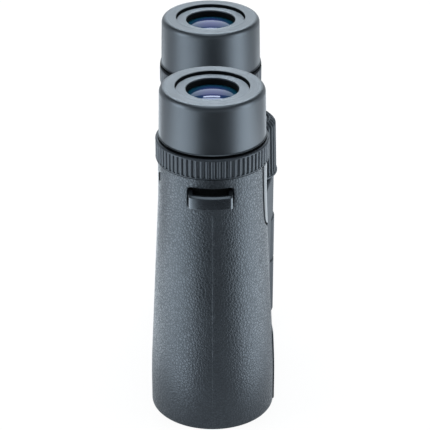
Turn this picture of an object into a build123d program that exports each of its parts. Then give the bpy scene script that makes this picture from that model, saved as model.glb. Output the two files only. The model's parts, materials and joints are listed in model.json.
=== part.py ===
from build123d import *
import os
from math import asin, cos, hypot, radians, sin, sqrt

# Roof-prism binoculars standing on their objective ends, eyepieces up, in millimetres.
# The barrels run along +Z, the user's right barrel is at -X, and the side with the focus wheel faces -Y.
# The origin is the middle of the whole part's footprint, on the surface that it stands on.

right, left = -1, 1
side_names = {right: "right", left: "left"}

# Overall
overall_height = 142.0  # eyecups down
axis_spacing = 72.6  # between the barrel axes
hinge_drop = 14.0  # from the plane of the barrel axes to the hinge axis

# Armour and housing
base_radius = 25.4  # armour at the objective end
neck_radius = 21.5  # armour at the eyepiece end
armour_thickness = 1.8
armour_fit = 0.05
skirt_height = 17.0  # straight stretch of the armour at the objective end
neck_length = 15.0  # straight stretch at the eyepiece end
armour_blend = 300.0  # radius that eases the taper into both straight stretches
foot_thickness = 1.5  # armour under the housing's rim
foot_fillet = 0.8
housing_wall = 1.3  # round the objective
neck_wall = 1.6  # round the prisms
split_front = 84.0  # grip armour ends here, in degrees from the outer side towards the wheel side
split_back = 105.0  # and here, in degrees towards the other side
split_gap = 0.4  # degrees between the two armour mouldings
flank_rise = 0.5  # flank armour stands proud of the grip armour near the objective
flank_rise_top = 31.0
flank_rise_run = 4.0  # length over which the rise fades
flank_rise_blend = 10.0

# Bridge
shield_top_reach = 8.5  # outer edge of the smooth bridge panel, outside the barrel axis
shield_low_reach = 7.1
shield_corner_drop = 27.1  # panel's outer corner, below the housing's top
shield_hinge_drop = 43.0  # panel's lower edge at the hinge, below the housing's top
shield_round = 7.0
shield_back = 6.0  # panel ends this far in front of the barrel axis
panel_groove = 0.6
web_reach = 18.5  # front face of the bridge, from the barrel axis
web_under = 7.0  # back face of the bridge, behind the line from barrel to hinge
web_fillet = 1.2
web_room = 0.3  # armour to bridge
knuckle_gap = 0.4
knuckle_room = 0.4
upper_knuckle_radius = 12.0
lower_knuckle_radius = 12.5
knuckle_chamfer = 0.6

# Strap lug
lug_inner_radius = 23.9
lug_bar = 1.9
lug_height = 5.4
lug_drop = 7.9  # lug's middle below the housing's top
lug_width = 17.0
lug_shift = 0.9  # lug behind the barrel's outermost line
lug_slot_width = 14.0
lug_fillet = 0.6
lug_fit = 0.05
lug_floor = 0.95  # housing left behind the strap, outside the prism bore
pocket_margin_side = 0.5
pocket_margin_up = 0.7
pocket_margin_down = 1.6
pocket_fillet = 1.2

# Objective
hood_depth = 8.0  # armour's foot to the retaining ring
objective_ring_wall = 1.3
objective_clearance = 0.2
objective_front_curve = 95.0
objective_joint_curve = 70.0
crown_edge = 1.8
flint_thickness = 3.0
objective_ring_height = 3.3
shoulder_depth = 1.7  # objective seat, inside the objective bore
ring_fit = 0.1
ring_bevel = 0.8
cement = 0.02

# Eyepiece
eyecup_height = 19.9
eyecup_seat_height = 0.6
eyecup_rubber_wall = 2.2
eyecup_taper = 0.7
eyecup_fillet = 1.6
eyecup_lip = 3.2  # rubber over the core
eyecup_lip_round = 0.5
eyecup_wall = 4.4  # core's wall
eyecup_fit = 0.2
eyecup_rise = 10.0
eyecup_seat_inset = 0.4
seat_room = 0.05
rubber_fit = 0.05
guide_height = 3.0
guide_wall = 1.5
guide_lift = 2.0  # guide ring above the core's lower end
guide_fit = 0.1
key_width = 2.0
key_depth = 0.6
eyepiece_base_height = 9.5
eyepiece_recess = 1.0  # eyepiece below the eyecup's rim
base_clearance = 0.2
spigot_length = 8.0
spigot_fit = 0.1
tube_radius = 14.4
tube_wall = 1.1
bezel_height = 2.4
bezel_wall = 2.9
bezel_seat = 1.4  # eyepiece tube round the bezel
bezel_fit = 0.05
bezel_chamfer = 0.4
eye_lens_step = 1.3  # eye lens inside the field cell's bore
eye_lens_edge = 5.5
eye_lens_curve = 40.0
eye_lens_fit = 0.1
eye_lens_room = 0.08
eye_ledge_height = 1.0
eye_ledge = 1.0
cell_fit = 0.1
cell_wall = 1.7
field_cell_height = 12.0
field_cell_lift = 5.6  # field cell's top above the middle of the diopter ring
field_seat_height = 4.0
field_ledge = 0.8
field_ledge_height = 1.0
field_lens_edge = 3.0
field_lens_curve = 45.0
field_lens_fit = 0.1

# Diopter
ring_height = 7.9
ring_radius = 22.6
ring_end_gap = 0.2
ring_run = 0.08
ring_rim = 0.9  # plain rim above and below the ribs
ring_chamfer = 0.4
ring_ribs = 64
ring_groove_radius = 0.55
armour_gap = 0.4  # armour to diopter ring
diopter_travel = 1.2
pin_radius = 1.0
pin_fit = 0.1
pin_reach = 1.0  # into the ring
pin_root = 1.2  # into the field cell
pin_room = 0.25

# Prisms
prism_face = 24.0  # long faces of the roof prism
prism_half_width = 8.5
prism_gap = 0.3
penta_half = 9.0  # half of the entrance face
penta_reach = 14.2
penta_tip_drop = 1.0
cage_floor = 2.0
cage_wall = 0.9
cage_fit = 0.1
cage_clear = 9.1  # cage to eyepiece
cage_aperture = 8.0
cage_ledge = 0.9
cage_ledge_height = 1.5
retainer_height = 2.0
retainer_fit = 0.1

# Focus
focus_travel = 1.8
focus_bore_step = 0.9  # focus bore outside the prism bore
bore_taper = 16.0  # length over which the bore narrows behind the objective
focus_cell_wall = 1.3
focus_cell_gap = 5.2  # focus bore to focus cell
focus_lens_edge = 2.5
focus_lens_curve = 60.0
focus_lens_fit = 0.1
focus_ledge = 0.8
focus_ledge_height = 1.0
rod_radius = 1.0
rod_run = 0.06
rod_gap = 3.2  # rod's middle to the focus bore
rod_boss = 1.2
rod_spare = 1.0
arm_width = 6.0
arm_thickness = 3.0
arm_room = 0.4
arm_travel_room = 0.3
shuttle_head_radius = 8.8
shuttle_groove_radius = 6.2
shuttle_flange = 1.65  # above and below the groove
shuttle_stem_radius = 6.5
shuttle_end = 0.5
shuttle_room = 0.2
groove_room = 0.1
fork_room = 0.15
thread_radius = 3.0
thread_room = 0.1
thread_overlap = 13.4
thread_spare = 0.7
spindle_radius = 4.0
spindle_run = 0.1
flange_radius = 6.5
flange_height = 1.5
flange_room = 0.2
retaining_height = 0.6
retaining_radius = 8.0
retaining_room = 0.2

# Hinge
upper_sleeve_radius = 7.0
lower_sleeve_radius = 9.0
sleeve_run = 0.05
stem_room = 0.1
upper_run = 5.5
lower_run = 4.0
lower_seat = 5.0
upper_knuckle_height = 19.7
cavity_radius = 9.5
insert_radius = 6.0
insert_height = 11.0
insert_wall = 1.5
tripod_radius = 3.175
tripod_depth = 9.0
washer_radius = 11.0
washer_height = 0.3
washer_fit = 0.1

# Focus wheel
wheel_above_neck = 0.6
wheel_height = 24.2
wheel_lip_radius = 13.4
wheel_radius = 13.0
wheel_shoulder_radius = 12.5
wheel_lip_height = 0.9
wheel_flare = 2.0
wheel_bevel_height = 2.0
wheel_bevel = 1.7
wheel_grip = 2.0
wheel_rim = 1.2
wheel_rim_height = 1.6
wheel_ribs = 36
wheel_groove_radius = 0.7
wheel_fit = 0.05
cap_height = 1.1
cap_recess = 0.6
cap_fit = 0.1
cap_chamfer = 0.3
wheel_core_lift = 0.2

# Worked out: heights
eyecup_bottom = overall_height - eyecup_height
base_top = eyecup_bottom - eyecup_seat_height
neck_top = base_top - eyepiece_base_height
taper_top = neck_top - neck_length
ring_top = base_top - ring_end_gap
ring_bottom = ring_top - ring_height
ring_middle = (ring_top + ring_bottom) / 2
panel_top = ring_bottom - armour_gap
armour_top = {right: panel_top, left: ring_top}
eyepiece_top = overall_height - eyepiece_recess
bezel_bottom = eyepiece_top - bezel_height
spigot_bottom = neck_top - spigot_length
lug_middle = neck_top - lug_drop

# Worked out: plan
half_spacing = axis_spacing / 2
barrel_y = (hinge_drop + wheel_lip_radius - base_radius) / 2
hinge_y = barrel_y - hinge_drop
hinge_arm = hypot(half_spacing, hinge_drop)

# Worked out: radii
housing_neck = neck_radius - armour_thickness
objective_bore = base_radius - armour_thickness - housing_wall
objective_radius = objective_bore - objective_clearance
objective_seat = objective_bore - shoulder_depth
aperture_radius = objective_bore - objective_ring_wall
prism_bore = housing_neck - neck_wall
focus_bore = prism_bore + focus_bore_step
eyepiece_base_radius = housing_neck - base_clearance
cell_bore = tube_radius - tube_wall
field_cell_radius = cell_bore - cell_fit
bezel_radius = tube_radius - bezel_seat
eye_opening = bezel_radius - bezel_wall
eye_lens_radius = cell_bore - eye_lens_step
eyecup_bore = tube_radius + eyecup_fit
core_radius = eyecup_bore + eyecup_wall
eyecup_base_radius = core_radius + eyecup_rubber_wall
eyecup_rim_radius = eyecup_base_radius - eyecup_taper
lug_outer_radius = lug_inner_radius + lug_bar
cage_radius = prism_bore - cage_fit
cage_bore = cage_radius - cage_wall
focus_cell_radius = focus_bore - focus_cell_gap
rod_circle = focus_bore - rod_gap
wheel_core_radius = wheel_shoulder_radius - wheel_grip

# Worked out: eye lens
eye_lens_sag = eye_lens_curve - sqrt(eye_lens_curve**2 - eye_lens_radius**2)
opening_sag = eye_lens_curve - sqrt(eye_lens_curve**2 - eye_opening**2)
eye_lens_stack = eye_lens_edge + eye_lens_sag - opening_sag + eye_lens_room

# Worked out: objective stack, from the front of the lens to its seat
front_sag = objective_front_curve - sqrt(objective_front_curve**2 - objective_radius**2)
joint_sag = objective_joint_curve - sqrt(objective_joint_curve**2 - objective_radius**2)
ring_contact = objective_front_curve - sqrt(objective_front_curve**2 - aperture_radius**2)
crown_front = hood_depth + objective_ring_height - ring_contact
joint_vertex = crown_front + front_sag + crown_edge + joint_sag
shoulder_z = joint_vertex + flint_thickness

# Worked out: prism stack
prism_height = prism_face / 2 + penta_half + prism_gap * sqrt(2)
cage_height = cage_floor + prism_height + retainer_height
cage_seat = spigot_bottom - cage_clear - cage_height
prism_bottom = cage_seat + cage_floor
prism_top = prism_bottom + prism_height

# Worked out: hinge stack, from the wheel down
wheel_top = neck_top + wheel_above_neck
wheel_bottom = wheel_top - wheel_height
cap_bottom = wheel_top - cap_recess - cap_height
groove_height = arm_thickness + 2 * groove_room
shuttle_head = groove_height + 2 * shuttle_flange
upper_cavity = shuttle_head + 2 * (focus_travel + shuttle_room)
lower_cavity = arm_thickness + 2 * (shuttle_end + focus_travel + shuttle_room)
bridge_top = wheel_bottom - knuckle_gap
upper_bottom = bridge_top - upper_knuckle_height
middle_top = upper_bottom - knuckle_gap
upper_cavity_top = middle_top - upper_run
upper_cavity_bottom = upper_cavity_top - upper_cavity
middle_bottom = upper_cavity_bottom - lower_run
lower_top = middle_bottom - knuckle_gap
lower_cavity_top = lower_top - lower_seat
lower_cavity_bottom = lower_cavity_top - lower_cavity
bridge_bottom = lower_cavity_bottom - insert_wall - insert_height
knuckles = {
    right: [
        (upper_bottom, bridge_top, upper_knuckle_radius),
        (bridge_bottom, lower_top, lower_knuckle_radius),
    ],
    left: [(middle_bottom, middle_top, lower_knuckle_radius)],
}
flange_top = bridge_top - retaining_height - flange_room
flange_bottom = flange_top - flange_height
upper_sleeve_top = flange_bottom - flange_room
hinge_bores = {
    right: [
        (upper_bottom, upper_sleeve_top, upper_sleeve_radius),
        (upper_sleeve_top, bridge_top, retaining_radius),
        (lower_cavity_top, lower_top, lower_sleeve_radius),
        (lower_cavity_bottom, lower_cavity_top, cavity_radius),
        (bridge_bottom, bridge_bottom + insert_height, insert_radius),
    ],
    left: [
        (upper_cavity_top, middle_top, upper_sleeve_radius + sleeve_run),
        (upper_cavity_bottom, upper_cavity_top, cavity_radius),
        (middle_bottom, upper_cavity_bottom, lower_sleeve_radius + sleeve_run),
    ],
}

# Worked out: focus drive
arm_middle = {
    right: (lower_cavity_bottom + lower_cavity_top) / 2,
    left: (upper_cavity_bottom + upper_cavity_top) / 2,
}
focus_cell_bottom = arm_middle[right] - arm_thickness / 2
focus_cell_top = arm_middle[left] + arm_thickness / 2
focus_seat = (focus_cell_bottom + focus_cell_top) / 2
stem_bottom = focus_cell_bottom - shuttle_end
shuttle_top = arm_middle[left] + shuttle_head / 2
spindle_bottom = shuttle_top - thread_overlap
shuttle_bore_bottom = spindle_bottom - focus_travel - thread_spare


# Planes and axes of a barrel and of the hinge

def meridian(side, bearing=0.0):
    # upright half-plane of a barrel: local x is the radius, local y the height
    out = (cos(radians(bearing)), sin(radians(bearing)), 0)
    return Plane(origin=(side * half_spacing, barrel_y, 0), x_dir=out, z_dir=(out[1], -out[0], 0))


def barrel_axis(side):
    return Axis((side * half_spacing, barrel_y, 0), (0, 0, 1))


def level_to_hinge(side, height):
    # local x points from the barrel to the hinge, and side times local y to the wheel side
    return Plane(
        origin=(side * half_spacing, barrel_y, height),
        x_dir=(-side * half_spacing, -hinge_drop, 0),
        z_dir=(0, 0, 1),
    )


def level_outward(side, height):
    # local x points away from the other barrel
    return Plane(origin=(side * half_spacing, barrel_y, height), x_dir=(side, 0, 0), z_dir=(0, 0, 1))


def level_of_hinge(height):
    return Plane(origin=(0, hinge_y, height), x_dir=(1, 0, 0), z_dir=(0, 0, 1))


def front_plane(side):
    # local x points away from the other barrel, local y is the height
    return Plane(
        origin=(side * half_spacing, barrel_y - shield_back, 0), x_dir=(side, 0, 0), z_dir=(0, -side, 0)
    )


hinge_meridian = Plane(origin=(0, hinge_y, 0), x_dir=(1, 0, 0), z_dir=(0, -1, 0))
hinge_axis = Axis((0, hinge_y, 0), (0, 0, 1))


# Outlines that several pieces share

def skin_points(inset, bottom, top):
    # barrel's tapered outline, inset from the armour's surface
    return [
        (base_radius - inset, bottom),
        (base_radius - inset, skirt_height),
        (neck_radius - inset, taper_top),
        (neck_radius - inset, top),
    ]


def flank_points(top):
    # flank armour's outline, raised near the objective
    slope = (base_radius - neck_radius) / (taper_top - skirt_height)
    fade = flank_rise_top + flank_rise_run
    return [
        (base_radius + flank_rise, 0),
        (base_radius + flank_rise, skirt_height),
        (base_radius + flank_rise - slope * (flank_rise_top - skirt_height), flank_rise_top),
        (base_radius - slope * (fade - skirt_height), fade),
        (neck_radius, taper_top),
        (neck_radius, top),
    ]


def shield_points(top):
    # smooth bridge panel, seen from the wheel side; its outer edge leans outwards as it rises
    corner = neck_top - shield_corner_drop
    lean = (shield_top_reach - shield_low_reach) / (panel_top - corner)
    return [
        (shield_low_reach + lean * (top - corner), top),
        (shield_low_reach, corner),
        (-half_spacing, neck_top - shield_hinge_drop),
        (-half_spacing, top),
    ]


def web_points(side, room):
    # bridge seen from above, from the barrel to the hinge
    slope = asin((web_reach - upper_knuckle_radius) / hinge_arm)
    front = [
        (hinge_arm + upper_knuckle_radius * sin(slope), (upper_knuckle_radius + room) * cos(slope)),
        (web_reach * sin(slope), (web_reach + room) * cos(slope)),
    ]
    corners = [(0, -web_under - room), (hinge_arm, -web_under - room)] + front
    return [(x, side * y) for x, y in corners]


# Housing

def bridge_panel(side):
    panel_root = housing_neck - neck_wall / 2
    with BuildPart() as panel:
        with BuildSketch(meridian(side)):
            with BuildLine():
                skin = FilletPolyline(*skin_points(0, 0, panel_top), radius=armour_blend)
                Polyline(skin @ 1, (panel_root, panel_top), (panel_root, 0), skin @ 0)
            make_face()
        revolve(axis=barrel_axis(side))
        with BuildSketch(front_plane(side)):
            with BuildLine():
                FilletPolyline(*shield_points(overall_height), radius=[0, shield_round, 0, 0], close=True)
            make_face()
            offset(amount=-panel_groove, mode=Mode.REPLACE)
        extrude(amount=side * 2 * base_radius, mode=Mode.INTERSECT)
    return panel.part


def bridge_web(side):
    with BuildPart() as web:
        with BuildSketch(level_to_hinge(side, bridge_bottom)):
            with BuildLine():
                Polyline(*web_points(side, 0), close=True)
            make_face()
        extrude(amount=bridge_top - bridge_bottom)
        fillet(web.edges().group_by(Axis.Z)[-1], radius=web_fillet)
        fillet(web.edges().group_by(Axis.Z)[0], radius=web_fillet)
    return web.part


def knuckle(bottom, top, radius):
    with BuildPart() as barrel:
        with BuildSketch(level_of_hinge(bottom)):
            Circle(radius)
        extrude(amount=top - bottom)
        chamfer(barrel.edges().filter_by(GeomType.CIRCLE), length=knuckle_chamfer)
    return barrel.part


def housing(side):
    panel = bridge_panel(side)
    web = bridge_web(side)
    own_knuckles = [knuckle(*sizes) for sizes in knuckles[side]]
    with BuildPart() as shell:
        with BuildSketch(meridian(side)):
            with BuildLine():
                skin = FilletPolyline(
                    *skin_points(armour_thickness, foot_thickness, neck_top), radius=armour_blend
                )
                Polyline(skin @ 1, (0, neck_top), (0, foot_thickness), skin @ 0)
            make_face()
        revolve(axis=barrel_axis(side))
        add(panel)
        add(web)
        # room for the other half's knuckles
        for bottom, top, radius in knuckles[-side]:
            with BuildSketch(level_of_hinge(bottom - knuckle_gap)):
                Circle(radius + knuckle_room)
            extrude(amount=top - bottom + 2 * knuckle_gap, mode=Mode.SUBTRACT)
        add(own_knuckles)
        for bottom, top, radius in hinge_bores[side]:
            with BuildSketch(level_of_hinge(bottom)):
                Circle(radius)
            extrude(amount=top - bottom, mode=Mode.SUBTRACT)
        # barrel's stepped bore
        ledge_bottom = cage_seat - cage_ledge_height
        with BuildSketch(meridian(side)):
            with BuildLine():
                Polyline(
                    (0, 0),
                    (objective_bore, 0),
                    (objective_bore, shoulder_z),
                    (objective_seat, shoulder_z),
                    (focus_bore, shoulder_z + bore_taper),
                    (focus_bore, ledge_bottom),
                    (prism_bore - cage_ledge, ledge_bottom),
                    (prism_bore - cage_ledge, cage_seat),
                    (prism_bore, cage_seat),
                    (prism_bore, neck_top),
                    (eyepiece_base_radius + base_clearance, neck_top),
                    (eyepiece_base_radius + base_clearance, overall_height),
                    (0, overall_height),
                    close=True,
                )
            make_face()
        revolve(axis=barrel_axis(side), mode=Mode.SUBTRACT)
        # way for the focus arm
        channel_height = arm_thickness + 2 * (focus_travel + arm_travel_room)
        with BuildSketch(level_to_hinge(side, arm_middle[side] - channel_height / 2)):
            with Locations((hinge_arm / 2, 0)):
                Rectangle(hinge_arm, arm_width + 2 * arm_room)
        extrude(amount=channel_height, mode=Mode.SUBTRACT)
        # flat behind the strap
        with BuildSketch(level_outward(side, lug_middle - lug_height / 2 - pocket_margin_down)):
            with Locations((prism_bore + lug_floor + lug_inner_radius / 2, side * lug_shift)):
                Rectangle(lug_inner_radius, lug_slot_width)
        extrude(amount=lug_height + pocket_margin_down + pocket_margin_up, mode=Mode.SUBTRACT)
    shell.part.label = f"{side_names[side]}_housing"
    return shell.part


# Armour

def cut_bridge_and_lug(side):
    # space that the bridge panel, the bridge and the strap lug take from the armour
    shield_top = overall_height if side == right else panel_top
    with BuildPart() as space:
        with BuildSketch(front_plane(side)):
            with BuildLine():
                FilletPolyline(*shield_points(shield_top), radius=[0, shield_round, 0, 0], close=True)
            make_face()
        extrude(amount=side * 2 * base_radius)
        with BuildSketch(level_to_hinge(side, bridge_bottom - web_room)):
            with BuildLine():
                Polyline(*web_points(side, web_room), close=True)
            make_face()
        extrude(amount=bridge_top - bridge_bottom + 2 * web_room)
        pocket_half = lug_width / 2 + pocket_margin_side
        pocket_bottom = lug_middle - lug_height / 2 - pocket_margin_down
        pocket_height = lug_height + pocket_margin_down + pocket_margin_up
        pocket_plane = Plane(
            origin=(side * half_spacing, barrel_y + lug_shift, pocket_bottom + pocket_height / 2),
            x_dir=(0, 1, 0),
            z_dir=(side, 0, 0),
        )
        with BuildSketch(pocket_plane):
            RectangleRounded(2 * pocket_half, pocket_height, pocket_fillet)
        extrude(amount=lug_outer_radius)
    return space.part


def grip_armour(side):
    taken = cut_bridge_and_lug(side)
    bearing = 180 - split_back if side == right else -split_front
    with BuildPart() as grip:
        with BuildSketch(meridian(side, bearing)):
            with BuildLine():
                skin = FilletPolyline(*skin_points(0, 0, armour_top[side]), radius=armour_blend)
                lining = FilletPolyline(
                    *skin_points(armour_thickness - armour_fit, foot_thickness, armour_top[side]),
                    radius=armour_blend,
                )
                Line(skin @ 1, lining @ 1)
                Polyline(lining @ 0, (objective_bore, foot_thickness), (objective_bore, 0), skin @ 0)
            make_face()
        revolve(axis=barrel_axis(side), revolution_arc=split_front + split_back)
        fillet(grip.edges().group_by(Axis.Z)[0].sort_by(SortBy.LENGTH)[-1], radius=foot_fillet)
        add(taken, mode=Mode.SUBTRACT)
    grip.part.label = f"{side_names[side]}_grip_armour"
    return grip.part


def flank_armour(side):
    taken = cut_bridge_and_lug(side)
    start = split_front + split_gap
    bearing = 180 + start if side == right else split_back + split_gap
    with BuildPart() as flank:
        with BuildSketch(meridian(side, bearing)):
            with BuildLine():
                skin = FilletPolyline(
                    *flank_points(armour_top[side]),
                    radius=[armour_blend, flank_rise_blend, flank_rise_blend, armour_blend],
                )
                lining = FilletPolyline(
                    *skin_points(armour_thickness - armour_fit, foot_thickness, armour_top[side]),
                    radius=armour_blend,
                )
                Line(skin @ 1, lining @ 1)
                Polyline(lining @ 0, (objective_bore, foot_thickness), (objective_bore, 0), skin @ 0)
            make_face()
        revolve(axis=barrel_axis(side), revolution_arc=360 - split_front - split_back - 2 * split_gap)
        fillet(flank.edges().group_by(Axis.Z)[0].sort_by(SortBy.LENGTH)[-1], radius=foot_fillet)
        add(taken, mode=Mode.SUBTRACT)
    flank.part.label = f"{side_names[side]}_flank_armour"
    return flank.part


# Strap lug

def strap_lug(side):
    with BuildPart() as lug:
        with BuildSketch(level_outward(side, lug_middle - lug_height / 2)):
            Circle(lug_outer_radius)
            Circle(housing_neck + lug_fit, mode=Mode.SUBTRACT)
            with Locations((lug_outer_radius / 2, side * lug_shift)):
                Rectangle(lug_outer_radius, lug_width, mode=Mode.INTERSECT)
        extrude(amount=lug_height)
        fillet(lug.faces().sort_by(Axis.X)[-1 if side == left else 0].edges(), radius=lug_fillet)
        with BuildSketch(level_outward(side, lug_middle - lug_height)):
            Circle(lug_inner_radius)
            with Locations((0, side * lug_shift)):
                Rectangle(2 * lug_outer_radius, lug_slot_width, mode=Mode.INTERSECT)
        extrude(amount=2 * lug_height, mode=Mode.SUBTRACT)
    lug.part.label = f"{side_names[side]}_strap_lug"
    return lug.part


# Objective

def objective_ring(side):
    with BuildPart() as ring:
        with BuildSketch(meridian(side)):
            with BuildLine():
                Polyline(
                    (aperture_radius, hood_depth + ring_bevel),
                    (aperture_radius + ring_bevel, hood_depth),
                    (objective_bore - ring_fit, hood_depth),
                    (objective_bore - ring_fit, hood_depth + objective_ring_height),
                    (aperture_radius, hood_depth + objective_ring_height),
                    close=True,
                )
            make_face()
        revolve(axis=barrel_axis(side))
    ring.part.label = f"{side_names[side]}_objective_ring"
    return ring.part


def objective_crown(side):
    with BuildPart() as lens:
        with BuildSketch(meridian(side)):
            with BuildLine():
                front = RadiusArc(
                    (0, crown_front), (objective_radius, crown_front + front_sag), -objective_front_curve
                )
                rear = RadiusArc(
                    (0, joint_vertex), (objective_radius, joint_vertex - joint_sag), objective_joint_curve
                )
                Line(front @ 1, rear @ 1)
                Line(rear @ 0, front @ 0)
            make_face()
        revolve(axis=barrel_axis(side))
    lens.part.label = f"{side_names[side]}_objective_crown"
    return lens.part


def objective_flint(side):
    vertex = joint_vertex + cement
    with BuildPart() as lens:
        with BuildSketch(meridian(side)):
            with BuildLine():
                front = RadiusArc(
                    (0, vertex), (objective_radius, vertex - joint_sag), objective_joint_curve
                )
                Polyline(front @ 1, (objective_radius, shoulder_z), (0, shoulder_z), front @ 0)
            make_face()
        revolve(axis=barrel_axis(side))
    lens.part.label = f"{side_names[side]}_objective_flint"
    return lens.part


# Prisms

def prism_plane(side):
    # upright plane through the barrel axis, across the line to the hinge
    inward = (-side * half_spacing / hinge_arm, -hinge_drop / hinge_arm, 0)
    return Plane(
        origin=(side * half_spacing, barrel_y, 0), x_dir=inward, z_dir=(inward[1], -inward[0], 0)
    )


def half_penta_prism(side):
    # entrance face below, exit face at 45 degrees beside the roof prism, mirror face at 22.5 degrees
    face_sum = prism_top - prism_face / 2 - prism_gap * sqrt(2)
    tip = prism_top - penta_tip_drop
    mirror_rise = (penta_reach - penta_half) * (1 + sqrt(2))
    with BuildPart() as prism:
        with BuildSketch(prism_plane(side)):
            with BuildLine():
                Polyline(
                    (-penta_half, prism_bottom),
                    (face_sum - prism_bottom, prism_bottom),
                    (face_sum - tip, tip),
                    (-penta_reach, tip),
                    (-penta_reach, prism_bottom + mirror_rise),
                    close=True,
                )
            make_face()
        extrude(amount=prism_half_width, both=True)
    prism.part.label = f"{side_names[side]}_half_penta_prism"
    return prism.part


def roof_prism(side):
    # exit face above, entrance face at 45 degrees, and a roof of two square faces on the third side
    drop = prism_face / sqrt(2)
    apex = (-prism_face / 2, prism_top)
    far = (prism_face / 2, prism_top)
    low = (drop - prism_face / 2, prism_top - drop)
    plane = prism_plane(side)
    ridge_top = plane.from_local_coords(Vector(far[0], far[1], 0))
    ridge_low = plane.from_local_coords(Vector(low[0], low[1], 0))
    ridge = (ridge_top - ridge_low).normalized()
    outward = ridge.cross(plane.z_dir)
    with BuildPart() as prism:
        with BuildSketch(plane):
            with BuildLine():
                Polyline(apex, far, low, close=True)
            make_face()
        extrude(amount=prism_half_width, both=True)
        for tilt in (1, -1):
            roof = Plane(origin=ridge_top, x_dir=ridge, z_dir=outward + plane.z_dir * tilt)
            split(bisect_by=roof, keep=Keep.BOTTOM)
    prism.part.label = f"{side_names[side]}_roof_prism"
    return prism.part


def prism_cage(side):
    with BuildPart() as cage:
        with BuildSketch(level_to_hinge(side, cage_seat)):
            Circle(cage_radius)
        extrude(amount=cage_height)
        with BuildSketch(level_to_hinge(side, prism_bottom)):
            Circle(cage_bore)
        extrude(amount=cage_height, mode=Mode.SUBTRACT)
        with BuildSketch(level_to_hinge(side, cage_seat)):
            Circle(cage_aperture)
            with Locations((0, rod_circle), (0, -rod_circle)):
                Circle(rod_radius)
        extrude(amount=cage_floor, mode=Mode.SUBTRACT)
    cage.part.label = f"{side_names[side]}_prism_cage"
    return cage.part


def prism_retainer(side):
    with BuildPart() as plate:
        with BuildSketch(level_to_hinge(side, prism_top)):
            Circle(cage_bore - retainer_fit)
            Circle(cage_aperture, mode=Mode.SUBTRACT)
        extrude(amount=retainer_height)
    plate.part.label = f"{side_names[side]}_prism_retainer"
    return plate.part


# Focus drive

def focus_rods(side):
    bottom = focus_cell_bottom - focus_travel - rod_spare
    with BuildPart() as rods:
        with BuildSketch(level_to_hinge(side, bottom)):
            with Locations((0, rod_circle), (0, -rod_circle)):
                Circle(rod_radius)
        extrude(amount=prism_bottom - bottom)
    rods.part.label = f"{side_names[side]}_focus_rods"
    return rods.part


def focus_cell(side):
    # lens tube with two rod bosses and a drive arm, clamped round the shuttle's stem on the right
    # and forked into the shuttle's groove on the left
    bore = focus_cell_radius - focus_cell_wall
    grip_radius = shuttle_stem_radius if side == right else shuttle_groove_radius + fork_room
    eye_radius = shuttle_head_radius + (cavity_radius - shuttle_head_radius) / 2
    ear_middle = (rod_circle + focus_cell_radius) / 2
    with BuildPart() as cell:
        with BuildSketch(level_to_hinge(side, focus_cell_bottom)):
            Circle(focus_cell_radius)
            with Locations((0, rod_circle), (0, -rod_circle)):
                Circle(rod_radius + rod_boss)
            with Locations((0, ear_middle), (0, -ear_middle)):
                Rectangle(2 * (rod_radius + rod_boss), rod_circle - focus_cell_radius + rod_boss)
            with Locations((0, rod_circle), (0, -rod_circle)):
                Circle(rod_radius + rod_run, mode=Mode.SUBTRACT)
        extrude(amount=focus_cell_top - focus_cell_bottom)
        with BuildSketch(level_to_hinge(side, arm_middle[side] - arm_thickness / 2)):
            with Locations((hinge_arm / 2, 0)):
                Rectangle(hinge_arm, arm_width)
            with Locations((hinge_arm, 0)):
                Circle(eye_radius)
                if side == left:
                    with Locations((hinge_arm / 2, 0)):
                        Rectangle(hinge_arm, 2 * eye_radius, mode=Mode.SUBTRACT)
            with Locations((hinge_arm, 0)):
                Circle(grip_radius, mode=Mode.SUBTRACT)
        extrude(amount=arm_thickness)
        with BuildSketch(level_to_hinge(side, focus_cell_bottom)):
            Circle(bore - focus_ledge)
        extrude(amount=focus_cell_top - focus_cell_bottom, mode=Mode.SUBTRACT)
        with BuildSketch(level_to_hinge(side, focus_seat)):
            Circle(bore)
        extrude(amount=focus_cell_top - focus_seat, mode=Mode.SUBTRACT)
        with BuildSketch(level_to_hinge(side, focus_cell_bottom)):
            Circle(bore)
        extrude(amount=focus_seat - focus_ledge_height - focus_cell_bottom, mode=Mode.SUBTRACT)
    cell.part.label = f"{side_names[side]}_focus_cell"
    return cell.part


def seated_lens(side, seat, radius, edge, curve):
    # flat below, on its seat, and convex above
    sag = curve - sqrt(curve**2 - radius**2)
    with BuildPart() as lens:
        with BuildSketch(meridian(side)):
            with BuildLine():
                crown = RadiusArc((0, seat + edge + sag), (radius, seat + edge), curve)
                Polyline(crown @ 1, (radius, seat), (0, seat), crown @ 0)
            make_face()
        revolve(axis=barrel_axis(side))
    return lens.part


def focus_lens(side):
    radius = focus_cell_radius - focus_cell_wall - focus_lens_fit
    lens = seated_lens(side, focus_seat, radius, focus_lens_edge, focus_lens_curve)
    lens.label = f"{side_names[side]}_focus_lens"
    return lens


def focus_shuttle():
    stem_top = arm_middle[left] - shuttle_head / 2
    groove = (arm_middle[left] - groove_height / 2, arm_middle[left] + groove_height / 2)
    with BuildPart() as shuttle:
        with BuildSketch(hinge_meridian):
            with BuildLine():
                Polyline(
                    (0, stem_bottom),
                    (shuttle_stem_radius, stem_bottom),
                    (shuttle_stem_radius, stem_top),
                    (shuttle_head_radius, stem_top),
                    (shuttle_head_radius, groove[0]),
                    (shuttle_groove_radius, groove[0]),
                    (shuttle_groove_radius, groove[1]),
                    (shuttle_head_radius, groove[1]),
                    (shuttle_head_radius, shuttle_top),
                    (thread_radius + thread_room, shuttle_top),
                    (thread_radius + thread_room, shuttle_bore_bottom),
                    (0, shuttle_bore_bottom),
                    close=True,
                )
            make_face()
        revolve(axis=hinge_axis)
    shuttle.part.label = "focus_shuttle"
    return shuttle.part


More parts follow.
